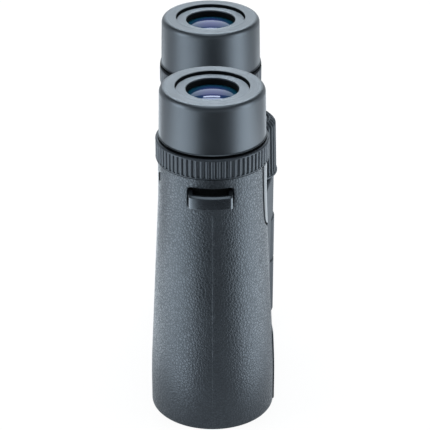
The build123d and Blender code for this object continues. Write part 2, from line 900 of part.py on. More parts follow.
def focus_spindle():
    with BuildPart() as spindle:
        with BuildSketch(hinge_meridian):
            with BuildLine():
                Polyline(
                    (0, spindle_bottom),
                    (thread_radius, spindle_bottom),
                    (thread_radius, upper_cavity_top),
                    (spindle_radius, upper_cavity_top),
                    (spindle_radius, flange_bottom),
                    (flange_radius, flange_bottom),
                    (flange_radius, flange_top),
                    (spindle_radius, flange_top),
                    (spindle_radius, cap_bottom),
                    (0, cap_bottom),
                    close=True,
                )
            make_face()
        revolve(axis=hinge_axis)
    spindle.part.label = "focus_spindle"
    return spindle.part


# Hinge and wheel: rings about the hinge axis

def hinge_ring(label, bottom, top, inner_radius, outer_radius):
    with BuildPart() as ring:
        with BuildSketch(level_of_hinge(bottom)):
            Circle(outer_radius)
            Circle(inner_radius, mode=Mode.SUBTRACT)
        extrude(amount=top - bottom)
    ring.part.label = label
    return ring.part


def hinge_washers():
    with BuildPart() as washers:
        for bottom, bore in ((lower_top, lower_sleeve_radius), (middle_top, upper_sleeve_radius)):
            with BuildSketch(level_of_hinge(bottom + (knuckle_gap - washer_height) / 2)):
                Circle(washer_radius)
                Circle(bore + washer_fit, mode=Mode.SUBTRACT)
            extrude(amount=washer_height)
    washers.part.label = "hinge_washers"
    return washers.part


def tripod_socket():
    with BuildPart() as insert:
        with BuildSketch(level_of_hinge(bridge_bottom)):
            Circle(insert_radius)
        extrude(amount=insert_height)
        with BuildSketch(level_of_hinge(bridge_bottom)):
            Circle(tripod_radius)
        extrude(amount=tripod_depth, mode=Mode.SUBTRACT)
    insert.part.label = "tripod_socket"
    return insert.part


def wheel_grip_ring():
    # ribbed rubber, flared at its foot and bevelled at its top
    foot = wheel_bottom + wheel_lip_height
    shoulder = wheel_top - wheel_bevel_height
    with BuildPart() as grip:
        with BuildSketch(hinge_meridian):
            with BuildLine():
                Polyline(
                    (wheel_core_radius + wheel_fit, wheel_bottom),
                    (wheel_lip_radius, wheel_bottom),
                    (wheel_lip_radius, foot),
                    (wheel_radius, foot + wheel_flare),
                    (wheel_shoulder_radius, shoulder),
                    (wheel_shoulder_radius - wheel_bevel, wheel_top),
                    (wheel_core_radius - wheel_rim, wheel_top),
                    (wheel_core_radius - wheel_rim, wheel_top - wheel_rim_height),
                    (wheel_core_radius + wheel_fit, wheel_top - wheel_rim_height),
                    close=True,
                )
            make_face()
        revolve(axis=hinge_axis)
        with BuildSketch(level_of_hinge(foot)):
            with PolarLocations((wheel_radius + wheel_shoulder_radius) / 2, wheel_ribs):
                Circle(wheel_groove_radius)
        extrude(amount=wheel_height, mode=Mode.SUBTRACT)
    grip.part.label = "focus_wheel_grip"
    return grip.part


def wheel_cap():
    with BuildPart() as cap:
        with BuildSketch(level_of_hinge(cap_bottom)):
            Circle(wheel_core_radius - wheel_rim - cap_fit)
        extrude(amount=cap_height)
        chamfer(cap.edges().group_by(Axis.Z)[-1], length=cap_chamfer)
    cap.part.label = "focus_wheel_cap"
    return cap.part


# Eyepiece

def eyepiece_tube(side):
    ledge_top = bezel_bottom - eye_lens_stack
    with BuildPart() as tube:
        with BuildSketch(meridian(side)):
            with BuildLine():
                Polyline(
                    (cell_bore, spigot_bottom),
                    (prism_bore - spigot_fit, spigot_bottom),
                    (prism_bore - spigot_fit, neck_top),
                    (eyepiece_base_radius, neck_top),
                    (eyepiece_base_radius, base_top),
                    (tube_radius, base_top),
                    (tube_radius, eyepiece_top),
                    (bezel_radius + bezel_fit, eyepiece_top),
                    (bezel_radius + bezel_fit, bezel_bottom),
                    (eye_lens_radius + eye_lens_fit, bezel_bottom),
                    (eye_lens_radius + eye_lens_fit, ledge_top),
                    (eye_lens_radius - eye_ledge, ledge_top),
                    (eye_lens_radius - eye_ledge, ledge_top - eye_ledge_height),
                    (cell_bore, ledge_top - eye_ledge_height),
                    close=True,
                )
            make_face()
        revolve(axis=barrel_axis(side))
        # keyway of the eyecup's guide ring
        with BuildSketch(level_outward(side, base_top + eyecup_seat_height)):
            with Locations((tube_radius, 0)):
                Rectangle(2 * (key_depth + guide_fit), key_width + 2 * guide_fit)
        extrude(amount=guide_lift + guide_height + eyecup_rise + guide_fit, mode=Mode.SUBTRACT)
        if side == right:
            # slot of the diopter pin
            slot_height = 2 * (pin_radius + diopter_travel + pin_room)
            with BuildSketch(pin_plane(side)):
                Rectangle(2 * (pin_radius + pin_fit), slot_height)
            extrude(amount=2 * eyepiece_base_radius, mode=Mode.SUBTRACT)
    tube.part.label = f"{side_names[side]}_eyepiece_tube"
    return tube.part


def pin_plane(side):
    # faces away from the wheel, at the middle of the diopter ring
    return Plane(
        origin=(side * half_spacing, barrel_y, ring_middle), x_dir=(-1, 0, 0), z_dir=(0, 1, 0)
    )


def field_cell(side):
    bottom = ring_middle + field_cell_lift - field_cell_height
    seat = bottom + field_seat_height
    bore = field_cell_radius - cell_wall
    with BuildPart() as cell:
        with BuildSketch(meridian(side)):
            with BuildLine():
                Polyline(
                    (bore, bottom),
                    (field_cell_radius, bottom),
                    (field_cell_radius, bottom + field_cell_height),
                    (bore, bottom + field_cell_height),
                    (bore, seat),
                    (bore - field_ledge, seat),
                    (bore - field_ledge, seat - field_ledge_height),
                    (bore, seat - field_ledge_height),
                    close=True,
                )
            make_face()
        revolve(axis=barrel_axis(side))
        if side == right:
            with BuildSketch(pin_plane(side).offset(field_cell_radius - pin_root)):
                Circle(pin_radius)
            extrude(amount=2 * pin_root, mode=Mode.SUBTRACT)
    cell.part.label = f"{side_names[side]}_field_cell"
    return cell.part


def field_lens(side):
    seat = ring_middle + field_cell_lift - field_cell_height + field_seat_height
    radius = field_cell_radius - cell_wall - field_lens_fit
    lens = seated_lens(side, seat, radius, field_lens_edge, field_lens_curve)
    lens.label = f"{side_names[side]}_field_lens"
    return lens


def eye_lens(side):
    lens = seated_lens(side, bezel_bottom - eye_lens_stack, eye_lens_radius, eye_lens_edge, eye_lens_curve)
    lens.label = f"{side_names[side]}_eye_lens"
    return lens


def eyepiece_bezel(side):
    with BuildPart() as bezel:
        with BuildSketch(meridian(side)):
            with BuildLine():
                Polyline(
                    (eye_opening, bezel_bottom),
                    (bezel_radius, bezel_bottom),
                    (bezel_radius, eyepiece_top),
                    (eye_opening + bezel_chamfer, eyepiece_top),
                    (eye_opening, eyepiece_top - bezel_chamfer),
                    close=True,
                )
            make_face()
        revolve(axis=barrel_axis(side))
    bezel.part.label = f"{side_names[side]}_eyepiece_bezel"
    return bezel.part


def diopter_ring():
    groove_half = pin_radius + diopter_travel + pin_room
    bore = eyepiece_base_radius + ring_run
    groove = eyepiece_base_radius + pin_reach + pin_room
    with BuildPart() as ring:
        with BuildSketch(meridian(right)):
            with BuildLine():
                Polyline(
                    (bore, ring_bottom),
                    (ring_radius - ring_chamfer, ring_bottom),
                    (ring_radius, ring_bottom + ring_chamfer),
                    (ring_radius, ring_top - ring_chamfer),
                    (ring_radius - ring_chamfer, ring_top),
                    (bore, ring_top),
                    (bore, ring_middle + groove_half),
                    (groove, ring_middle + groove_half),
                    (groove, ring_middle - groove_half),
                    (bore, ring_middle - groove_half),
                    close=True,
                )
            make_face()
        revolve(axis=barrel_axis(right))
        with BuildSketch(level_outward(right, ring_bottom + ring_rim)):
            with PolarLocations(ring_radius, ring_ribs):
                Circle(ring_groove_radius)
        extrude(amount=ring_height - 2 * ring_rim, mode=Mode.SUBTRACT)
    ring.part.label = "diopter_ring"
    return ring.part


def diopter_pin():
    root = field_cell_radius - pin_root
    with BuildPart() as pin:
        with BuildSketch(pin_plane(right).offset(root)):
            Circle(pin_radius)
        extrude(amount=eyepiece_base_radius + pin_reach - root)
    pin.part.label = "diopter_pin"
    return pin.part


# Eyecups

def eyecup_seat_ring(side):
    with BuildPart() as ring:
        with BuildSketch(level_outward(side, base_top)):
            Circle(core_radius - eyecup_seat_inset)
            Circle(eyecup_bore, mode=Mode.SUBTRACT)
        extrude(amount=eyecup_seat_height - seat_room)
    ring.part.label = f"{side_names[side]}_eyecup_seat"
    return ring.part


def eyecup_guide(side):
    bottom = eyecup_bottom + guide_lift
    with BuildPart() as guide:
        with BuildSketch(level_outward(side, bottom)):
            Circle(tube_radius + guide_fit + guide_wall)
            Circle(tube_radius + guide_fit, mode=Mode.SUBTRACT)
            with Locations((tube_radius + guide_fit, 0)):
                Rectangle(2 * (key_depth + guide_fit), key_width)
        extrude(amount=guide_height)
    guide.part.label = f"{side_names[side]}_eyecup_guide"
    return guide.part


def eyecup_core(side):
    pocket_radius = tube_radius + 2 * guide_fit + guide_wall
    pocket_bottom = eyecup_bottom + guide_lift - guide_fit
    pocket_top = pocket_bottom + guide_height + 2 * guide_fit
    core_top = overall_height - eyecup_lip
    with BuildPart() as core:
        with BuildSketch(meridian(side)):
            with BuildLine():
                Polyline(
                    (eyecup_bore, eyecup_bottom),
                    (core_radius, eyecup_bottom),
                    (core_radius, core_top),
                    (eyecup_bore, core_top),
                    (eyecup_bore, pocket_top),
                    (pocket_radius, pocket_top),
                    (pocket_radius, pocket_bottom),
                    (eyecup_bore, pocket_bottom),
                    close=True,
                )
            make_face()
        revolve(axis=barrel_axis(side))
    core.part.label = f"{side_names[side]}_eyecup_core"
    return core.part


def eyecup_rubber(side):
    core_top = overall_height - eyecup_lip
    with BuildPart() as rubber:
        with BuildSketch(meridian(side)):
            with BuildLine():
                FilletPolyline(
                    (core_radius + rubber_fit, eyecup_bottom),
                    (eyecup_base_radius, eyecup_bottom),
                    (eyecup_rim_radius, overall_height),
                    (eyecup_bore, overall_height),
                    (eyecup_bore, core_top + rubber_fit),
                    (core_radius + rubber_fit, core_top + rubber_fit),
                    radius=[0, eyecup_lip_round, eyecup_fillet, eyecup_lip_round, 0, 0],
                    close=True,
                )
            make_face()
        revolve(axis=barrel_axis(side))
    rubber.part.label = f"{side_names[side]}_eyecup_rubber"
    return rubber.part


# All pieces

pieces = [
    hinge_ring(
        "upper_hinge_sleeve",
        upper_cavity_top,
        upper_sleeve_top,
        spindle_radius + spindle_run,
        upper_sleeve_radius,
    ),
    hinge_ring(
        "lower_hinge_sleeve",
        lower_cavity_top,
        upper_cavity_bottom,
        shuttle_stem_radius + stem_room,
        lower_sleeve_radius,
    ),
    hinge_ring(
        "focus_retaining_ring",
        bridge_top - retaining_height,
        bridge_top,
        spindle_radius + retaining_room,
        retaining_radius,
    ),
    hinge_ring(
        "focus_wheel_core",
        wheel_bottom + wheel_core_lift,
        cap_bottom,
        spindle_radius,
        wheel_core_radius,
    ),
    wheel_cap(),
    hinge_washers(),
    tripod_socket(),
    focus_shuttle(),
    focus_spindle(),
    wheel_grip_ring(),
    diopter_ring(),
    diopter_pin(),
]
makers = (
    housing,
    grip_armour,
    flank_armour,
    strap_lug,
    objective_ring,
    objective_crown,
    objective_flint,
    focus_rods,
    focus_cell,
    focus_lens,
    prism_cage,
    prism_retainer,
    half_penta_prism,
    roof_prism,
    eyepiece_tube,
    field_cell,
    field_lens,
    eye_lens,
    eyepiece_bezel,
    eyecup_seat_ring,
    eyecup_guide,
    eyecup_core,
    eyecup_rubber,
)
pieces += [make(side) for side in (right, left) for make in makers]

os.makedirs("parts", exist_ok=True)
for piece in pieces:
    export_step(piece, f"parts/{piece.label}.step")
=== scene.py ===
import json
import math
import bpy
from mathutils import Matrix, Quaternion, Vector
from mathutils.geometry import delaunay_2d_cdt
from mathutils.kdtree import KDTree


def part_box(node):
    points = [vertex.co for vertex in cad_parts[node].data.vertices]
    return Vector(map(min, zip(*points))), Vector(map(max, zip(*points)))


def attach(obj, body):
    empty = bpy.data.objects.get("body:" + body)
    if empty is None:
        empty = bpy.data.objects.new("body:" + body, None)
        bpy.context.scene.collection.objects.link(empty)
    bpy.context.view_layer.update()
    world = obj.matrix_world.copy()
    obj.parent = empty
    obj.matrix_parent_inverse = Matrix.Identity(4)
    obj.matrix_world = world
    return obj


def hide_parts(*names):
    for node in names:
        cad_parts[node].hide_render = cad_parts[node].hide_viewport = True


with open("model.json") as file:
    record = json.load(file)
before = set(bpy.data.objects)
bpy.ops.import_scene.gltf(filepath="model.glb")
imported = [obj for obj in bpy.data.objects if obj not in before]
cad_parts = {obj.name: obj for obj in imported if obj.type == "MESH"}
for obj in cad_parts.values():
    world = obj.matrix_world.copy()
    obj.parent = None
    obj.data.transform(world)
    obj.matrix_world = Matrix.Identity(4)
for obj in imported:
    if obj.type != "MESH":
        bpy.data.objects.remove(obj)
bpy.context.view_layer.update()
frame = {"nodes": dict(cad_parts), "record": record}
nodes = frame["nodes"]
mm = 0.001
sides = ("right", "left")
print("frame:", len(nodes), "nodes")


# places read from the frame

def middle(node):
    low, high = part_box(node)
    return (low + high) / 2


barrel = {side: middle(f"{side}_eyecup_rubber") for side in sides}
hinge = middle("focus_wheel_grip")
outward = {"right": -1, "left": 1}  # x direction away from the other barrel


# shader maths

class Wire:
    # a socket in a material's tree: arithmetic on it adds Math nodes
    def __init__(self, tree, socket=None):
        self.tree = tree
        self.socket = socket

    def node(self, kind, settings=None, sockets=None, out=0):
        made = self.tree.nodes.new("ShaderNode" + kind)
        for name, value in (settings or {}).items():
            setattr(made, name, value)
        for key, value in (sockets or {}).items():
            if isinstance(value, Wire):
                self.tree.links.new(value.socket, made.inputs[key])
            else:
                made.inputs[key].default_value = value
        return Wire(self.tree, made.outputs[out] if made.outputs else None)

    def math(self, operation, *others):
        return self.node("Math", {"operation": operation}, dict(enumerate((self, *others))))

    def __add__(self, other):
        return self.math("ADD", other)

    def __sub__(self, other):
        return self.math("SUBTRACT", other)

    def __mul__(self, other):
        return self.math("MULTIPLY", other)

    def __truediv__(self, other):
        return self.math("DIVIDE", other)

    def __rsub__(self, other):
        return self.node("Math", {"operation": "SUBTRACT"}, {0: other, 1: self})

    __radd__ = __add__
    __rmul__ = __mul__

    def rise(self, start, end):
        # smooth step from 0 at start to 1 at end
        settings = {"interpolation_type": "SMOOTHSTEP", "clamp": True}
        return self.node("MapRange", settings, {"Value": self, "From Min": start, "From Max": end})

    def mix(self, first, second):
        # this value blends the first colour into the second
        return self.node("Mix", {"data_type": "RGBA"}, {0: self, 6: first, 7: second}, out=2)


def newFinish(name):
    material = bpy.data.materials.new(name)
    material.use_nodes = True
    material.node_tree.nodes.clear()
    return material, Wire(material.node_tree)


def surface(wire, sockets, mask=None, covered=None):
    # where the mask is 1, the covered settings take over
    shader = wire.node("BsdfPrincipled", None, sockets)
    if mask:
        cover = wire.node("BsdfPrincipled", None, covered)
        shader = wire.node("MixShader", None, {0: mask, 1: shader, 2: cover})
    wire.node("OutputMaterial", None, {"Surface": shader})


coolTint = (0.80, 0.90, 1.0, 1.0)  # rubber and plastic shine a little blue


def grey(level, blue=1.0):
    # dark neutral with a blue cast
    return (level * (1 - 0.14 * blue), level, level * (1 + 0.20 * blue), 1.0)


def noise(wire, place, size, detail=2.0):
    return wire.node("TexNoise", None, {"Vector": place, "Scale": 1 / size, "Detail": detail}, out="Fac")


def bumped(wire, height, depth, strength=1.0):
    sockets = {"Height": height, "Distance": depth, "Strength": strength}
    return wire.node("Bump", None, sockets, out="Normal")


def mottled(cloud, fine, level, blue=1.0):
    # colour that wanders a quarter either side of its level
    return (0.6 * cloud + 0.4 * fine).mix(grey(0.75 * level, blue), grey(1.25 * level, blue))


def fromAxis(wire, place, centre):
    # distance from an upright axis
    local = wire.node("Mapping", None, {"Vector": place, "Location": (-centre.x, -centre.y, 0.0)})
    flat = wire.node("VectorMath", {"operation": "MULTIPLY"}, {0: local, 1: (1.0, 1.0, 0.0)})
    return wire.node("VectorMath", {"operation": "LENGTH"}, {0: flat}, out="Value")


# finishes

grainLook = {
    "pebble": 1.15 * mm,
    "warp": 0.6 * mm,
    "fine": 0.25 * mm,
    "cloud": 16 * mm,
    "creaseWidth": 0.25,  # share of a pebble
    "depth": 0.13 * mm,
    "strength": 0.8,
    # painted shade: colour of the creases, darker than the peaks
    "creaseShade": 0.003,
    "peak": 0.014,
    "rough": 0.31,
    "swing": (0.12, 0.10),  # how far fine grain and clouds shift the roughness
    "creaseRough": 0.25,
    "gloss": 0.6,
    "seam": (0.15 * mm, 0.45 * mm),  # half-width of the mould seam's top and foot
    "seamTop": 97 * mm,
}


def grainedRubber(name):
    # leather-like pebbles parted by creases that are painted darker as shade, with a mould seam down the
    # outer side
    look = grainLook
    material, wire = newFinish(name)
    place = wire.node("TexCoord", out="Object")
    drift = wire.node("TexNoise", None, {"Vector": place, "Scale": 1 / (3 * look["pebble"])}, out="Color")
    warp = (look["warp"],) * 3
    moved = wire.node("VectorMath", {"operation": "MULTIPLY_ADD"}, {0: drift, 1: warp, 2: place})
    cell = {"Vector": moved, "Scale": 1 / look["pebble"]}
    edge = wire.node("TexVoronoi", {"feature": "DISTANCE_TO_EDGE"}, cell, out="Distance")
    edge = edge.rise(0.0, look["creaseWidth"])
    dome = 1 - wire.node("TexVoronoi", {"feature": "F1"}, cell, out="Distance")
    fine = noise(wire, place, look["fine"], 3.0)
    cloud = noise(wire, place, look["cloud"])
    side = (wire.node("SeparateXYZ", None, {0: place}, out="Y") - barrel["right"].y).math("ABSOLUTE")
    up = wire.node("SeparateXYZ", None, {0: place}, out="Z")
    seam = (1 - side.rise(*look["seam"])) * (1 - up.rise(look["seamTop"] - mm, look["seamTop"] + mm))
    height = edge * 0.5 + dome * 0.5 + fine * 0.25 + seam * 0.8
    # painted shade: the base colour darkens into the creases; the cloud adds random tone on top
    cloudAndCreaseShade = edge * 0.7 + cloud * 0.5 - 0.15
    fineSwing, cloudSwing = look["swing"]
    rough = look["rough"] + fineSwing * (fine - 0.5) + cloudSwing * (cloud - 0.5)
    surface(wire, {
        "Base Color": cloudAndCreaseShade.mix(grey(look["creaseShade"]), grey(look["peak"])),
        "Roughness": rough + look["creaseRough"] * (1 - edge),
        "Specular IOR Level": look["gloss"],
        "Specular Tint": coolTint,
        "Normal": bumped(wire, height, look["depth"], look["strength"]),
    })
    return material


mouldLook = {"grain": 0.10 * mm, "cloud": 9 * mm, "depth": 0.004 * mm, "swing": 0.06}


def satin(name, level, rough, grain=mouldLook["grain"], depth=mouldLook["depth"], blue=1.0, gloss=0.5):
    # moulded plastic or rubber with a fine spark-eroded texture
    swing = mouldLook["swing"]
    material, wire = newFinish(name)
    place = wire.node("TexCoord", out="Object")
    fine = noise(wire, place, grain)
    cloud = noise(wire, place, mouldLook["cloud"])
    surface(wire, {
        "Base Color": mottled(cloud, fine, level, blue),
        "Roughness": rough + swing * (cloud - 0.5) + 0.5 * swing * (fine - 0.5),
        "Specular IOR Level": gloss,
        "Specular Tint": coolTint,
        "Normal": bumped(wire, fine, depth),
    })
    return material


shellLook = {
    "level": 0.014,
    "rough": 0.32,
    "bridge": (27 * mm, 40 * mm),  # from the middle: matt between the barrels, satin beyond
    "bridgeRough": 0.33,
    "pocketShade": (52 * mm, 53.5 * mm),  # painted shade: black behind the strap lugs, where the pockets lie in shadow
    "pocketShadeLevel": 0.002,
    "pocketRough": 0.8,
    "pocketGloss": 0.05,
}


def shellFinish(name):
    # moulded shell, matt on the bridge, with painted shade: black in the lug pockets
    look = shellLook
    material, wire = newFinish(name)
    place = wire.node("TexCoord", out="Object")
    fine = noise(wire, place, mouldLook["grain"])
    cloud = noise(wire, place, mouldLook["cloud"])
    away = wire.node("SeparateXYZ", None, {0: place}, out="X").math("ABSOLUTE")
    bridge = 1 - away.rise(*look["bridge"])
    # painted shade: beyond the barrels' outer sides the shell turns black and matt, standing for the
    # shadow in the lug pockets
    pocketShade = away.rise(*look["pocketShade"])
    surface(wire, {
        "Base Color": mottled(cloud, fine, look["level"]),
        "Roughness": look["rough"] + mouldLook["swing"] * (cloud - 0.5) + look["bridgeRough"] * bridge,
        "Specular Tint": coolTint,
        "Normal": bumped(wire, fine, mouldLook["depth"]),
    }, pocketShade, {
        "Base Color": grey(look["pocketShadeLevel"]),
        "Roughness": look["pocketRough"],
        "Specular IOR Level": look["pocketGloss"],
    })
    return material


def turned(name, centre, level, rough, pitch, depth, gloss=0.5):
    # lathe-turned face: fine rings about an upright axis
    material, wire = newFinish(name)
    place = wire.node("TexCoord", out="Object")
    ring = 0.5 + 0.5 * (fromAxis(wire, place, centre) * (2 * math.pi / pitch)).math("SINE")
    fine = noise(wire, place, 0.12 * mm)
    surface(wire, {
        "Base Color": (0.7 * ring + 0.3 * fine).mix(grey(0.7 * level), grey(1.3 * level)),
        "Roughness": rough + 0.08 * (fine - 0.5),
        "Specular IOR Level": gloss,
        "Specular Tint": coolTint,
        "Normal": bumped(wire, ring + 0.2 * fine, depth),
    })
    return material


def paintedReflectionLens(name, centre, radius, core, rim, tint):
    # dark glass with a coloured coat in its gloss; its base colour is a painted reflection, a radial
    # gradient deeper in colour towards its edge
    material, wire = newFinish(name)
    place = wire.node("TexCoord", out="Object")
    reach = fromAxis(wire, place, centre) / radius
    surface(wire, {
        # painted reflection: the base colour's radial gradient stands in for the coat's colours and the
        # inner lens elements seen in the glass
        "Base Color": reach.rise(0.15, 1.0).mix(core, rim),
        "Roughness": 0.02 + 0.02 * noise(wire, place, 3 * mm),
        "Specular Tint": tint,
        "IOR": 1.27,
    })
    return material


def clearGlass(name):
    # inner lens or prism: pale glass with a few faint streaks
    material, wire = newFinish(name)
    place = wire.node("TexCoord", out="Object")
    streak = noise(wire, place, 4 * mm)
    surface(wire, {
        "Base Color": streak.mix((0.55, 0.66, 0.66, 1.0), (0.70, 0.78, 0.76, 1.0)),
        "Roughness": 0.03 + 0.04 * streak,
        "Transmission Weight": 0.8,
        "IOR": 1.57,
    })
    return material


def metal(name, tint, rough):
    # turned or ground metal with fine scratches
    material, wire = newFinish(name)
    place = wire.node("TexCoord", out="Object")
    stretched = wire.node("Mapping", None, {"Vector": place, "Scale": (1.0, 1.0, 14.0)})
    scratch = noise(wire, stretched, 0.5 * mm, 3.0)
    dull = tuple(0.72 * c for c in tint[:3]) + (1.0,)
    surface(wire, {
        "Base Color": scratch.mix(dull, tint),
        "Roughness": rough + 0.18 * (scratch - 0.5),
        "Metallic": 1.0,
        "Normal": bumped(wire, scratch, 0.004 * mm),
    })
    return material


print("finishes: ready")


# mesh helpers

def newPiece(name, mesh):
    piece = bpy.data.objects.new(name, mesh)
    bpy.context.scene.collection.objects.link(piece)
    return piece


def newMesh(name, points, faces, sharp=40.0):
    mesh = bpy.data.meshes.new(name)
    mesh.from_pydata(points, [], faces)
    mesh.validate()
    mesh.shade_smooth()
    mesh.set_sharp_from_angle(angle=math.radians(sharp))
    return mesh


def standFor(piece, body, node):
    # the piece moves with its body and takes the node's place
    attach(piece, body)
    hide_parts(node)


def addPiece(name, points, faces, finish):
    mesh = newMesh(name, points, faces)
    mesh.materials.append(finish)
    return newPiece(name, mesh)


def rounded(corners, arcSteps=6):
    # closed outline from corners of (across, up, round), or (across, up, round across, round up)
    outline = []
    count = len(corners)
    for i, (across, up, *size) in enumerate(corners):
        squash = size[1] / size[0] if len(size) > 1 else 1.0  # rounds can be taller than wide
        here = Vector((across, up / squash))
        before = Vector((corners[i - 1][0], corners[i - 1][1] / squash)) - here
        after = Vector((corners[(i + 1) % count][0], corners[(i + 1) % count][1] / squash)) - here
        if size[0] <= 0:
            outline.append((across, up))
            continue
        half = before.angle(after) / 2
        start = here + before.normalized() * (size[0] / math.tan(half))
        end = here + after.normalized() * (size[0] / math.tan(half))
        bisector = (before.normalized() + after.normalized()).normalized()
        centre = here + bisector * (size[0] / math.sin(half))
        first, last = start - centre, end - centre
        arc = first.angle(last)
        for k in range(arcSteps + 1):
            share = k / arcSteps
            blend = first * math.sin((1 - share) * arc) + last * math.sin(share * arc)
            point = centre + blend / math.sin(arc)
            outline.append((point.x, point.y * squash))
    return outline


def lathe(outline, centre, steps=192):
    # closed outline of (radius, height) in millimetres, turned about an upright axis
    count = len(outline)
    area = sum(outline[k - 1][0] * p[1] - p[0] * outline[k - 1][1] for k, p in enumerate(outline))
    ring = outline if area > 0 else outline[::-1]
    points = []
    for i in range(steps):
        bearing = 2 * math.pi * i / steps
        for radius, height in ring:
            x, y = radius * mm * math.cos(bearing), radius * mm * math.sin(bearing)
            points.append((centre.x + x, centre.y + y, height * mm))
    faces = []
    for i in range(steps):
        here, there = i * count, (i + 1) % steps * count
        for k in range(count):
            n = (k + 1) % count
            faces.append((here + k, there + k, there + n, here + n))
    return points, faces


def band(inner, outer, low, high):
    # corners of a plain ring
    return [(inner, low, 0), (outer, low, 0), (outer, high, 0), (inner, high, 0)]


def grooves(rings, level, halfWidth, depth):
    # corners of V-grooves in a flat face, from the outermost inwards
    corners = []
    for ring in reversed(rings):
        corners += [(ring + halfWidth, level, 0), (ring, level - depth, 0), (ring - halfWidth, level, 0)]
    return corners


def addTurned(name, corners, axis, finish, arcSteps=6, steps=192):
    return addPiece(name, *lathe(rounded(corners, arcSteps), axis, steps), finish)


def addBlackRing(name, corners, side, body):
    # matt black ring round a barrel's axis: real linings, and painted shade in the gaps under the eyecups
    # and the diopter ring
    piece = addTurned(name, corners, barrel[side], mattBlack)
    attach(piece, body)


def sweep(path, section):
    # bar along a path of (radius, height, lean), lean tilting its section; section is (side, rise) pairs
    points = []
    for radius, height, lean in path:
        out, up = math.cos(math.radians(lean)), math.sin(math.radians(lean))
        for side, rise in section:
            points.append(((radius + rise * out) * mm, side * mm, (height + rise * up) * mm))
    count = len(section)
    faces = []
    for i in range(len(path) - 1):
        for k in range(count):
            n = (k + 1) % count
            faces.append((i * count + k, (i + 1) * count + k, (i + 1) * count + n, i * count + n))
    faces.append(tuple(range(count)))
    faces.append(tuple(reversed(range((len(path) - 1) * count, len(path) * count))))
    return points, faces


def ribTree():
    # one rib copied round an upright axis and joined to the plain body
    tree = bpy.data.node_groups.new("ribs_round_axis", "GeometryNodeTree")
    tree.is_modifier = True
    kinds = {"Body": "Geometry", "Rib": "Object", "Count": "Int", "Axis": "Vector", "Finish": "Material"}
    for label, kind in kinds.items():
        tree.interface.new_socket(label, in_out="INPUT", socket_type=f"NodeSocket{kind}")
    tree.interface.new_socket("Ribbed", in_out="OUTPUT", socket_type="NodeSocketGeometry")
    make = tree.nodes.new
    link = tree.links.new
    given = make("NodeGroupInput").outputs
    spots = make("GeometryNodeMeshLine")
    link(given["Count"], spots.inputs["Count"])
    link(given["Axis"], spots.inputs["Start Location"])
    spots.inputs["Offset"].default_value = (0, 0, 0)
    share = make("ShaderNodeMath")
    share.operation = "DIVIDE"
    share.inputs[0].default_value = 2 * math.pi
    link(given["Count"], share.inputs[1])
    turn = make("ShaderNodeMath")
    turn.operation = "MULTIPLY"
    link(make("GeometryNodeInputIndex").outputs[0], turn.inputs[0])
    link(share.outputs[0], turn.inputs[1])
    bearing = make("FunctionNodeAxisAngleToRotation")
    link(turn.outputs[0], bearing.inputs["Angle"])
    rib = make("GeometryNodeObjectInfo")
    link(given["Rib"], rib.inputs["Object"])
    copies = make("GeometryNodeInstanceOnPoints")
    link(spots.outputs[0], copies.inputs["Points"])
    link(rib.outputs["Geometry"], copies.inputs["Instance"])
    link(bearing.outputs[0], copies.inputs["Rotation"])
    joined = make("GeometryNodeJoinGeometry")
    link(copies.outputs[0], joined.inputs[0])
    link(given["Body"], joined.inputs[0])
    plain = make("GeometryNodeRealizeInstances")
    link(joined.outputs[0], plain.inputs[0])
    dressed = make("GeometryNodeSetMaterial")
    link(plain.outputs[0], dressed.inputs["Geometry"])
    link(given["Finish"], dressed.inputs["Material"])
    link(dressed.outputs[0], make("NodeGroupOutput").inputs[0])
    return tree


def addRibbed(name, body, rib, count, axis, finish):
    # body and rib are points and faces; the result is one plain mesh
    piece = addPiece(name, *body, finish)
    ribPiece = newPiece(f"{name}_rib", newMesh(f"{name}_rib", *rib))
    ribs = piece.modifiers.new("ribs", "NODES")
    ribs.node_group = ribTree()
    settings = {"Rib": ribPiece, "Count": count, "Axis": (axis.x, axis.y, 0.0), "Finish": finish}
    for socket in ribs.node_group.interface.items_tree:
        if socket.name in settings:
            ribs[socket.identifier] = settings[socket.name]
    graph = bpy.context.evaluated_depsgraph_get()
    mesh = bpy.data.meshes.new_from_object(piece.evaluated_get(graph))
    piece.modifiers.remove(ribs)
    piece.data = mesh
    mesh.set_sharp_from_angle(angle=math.radians(40))
    bpy.data.objects.remove(ribPiece)
    return piece


# finishes of the carried-over nodes

armourGrain = grainedRubber("grained_rubber")
flankRubber = satin("flank_rubber", 0.016, 0.65, grain=0.22 * mm, depth=0.02 * mm)
eyecupRubberFinish = satin("eyecup_rubber_finish", 0.005, 0.40, gloss=0.8)
shellCoat = shellFinish("shell_coat")
lugPlastic = satin("lug_plastic", 0.010, 0.28, gloss=0.8)
blackPlastic = satin("black_plastic", 0.010, 0.50)
mattBlack = satin("matt_black", 0.003, 0.75, gloss=0.08)
ribPlastic = satin("rib_plastic", 0.018, 0.42, gloss=0.4)
wheelRubber = satin("wheel_rubber", 0.012, 0.55)
anodised = metal("black_anodised", (0.06, 0.062, 0.066, 1.0), 0.42)
steel = metal("ground_steel", (0.56, 0.57, 0.58, 1.0), 0.30)
brass = metal("turned_brass", (0.66, 0.50, 0.26, 1.0), 0.34)
acetal = satin("acetal", 0.60, 0.40, blue=-0.6)
innerGlass = clearGlass("inner_glass")

slotFinish = {
    "armour_rubber": armourGrain,
    "flank_rubber": flankRubber,
    "shell_plastic": shellCoat,
    "lug_plastic": lugPlastic,
    "ring_anodised": anodised,
    "inner_plastic": blackPlastic,
    "tube_aluminium": anodised,
    "steel": steel,
    "washer_plastic": acetal,
    "socket_brass": brass,
    "coated_glass": innerGlass,
    "inner_glass": innerGlass,
    "eyecup_rubber": eyecupRubberFinish,
    "eyecup_plastic": blackPlastic,
    "wheel_rubber": wheelRubber,
    "wheel_cap_plastic": blackPlastic,
    "diopter_plastic": ribPlastic,
}
for part in frame["record"]["subparts"]:
    mesh = nodes[part["node"]].data
    mesh.materials.clear()
    mesh.materials.append(slotFinish[part["material_slot"]])
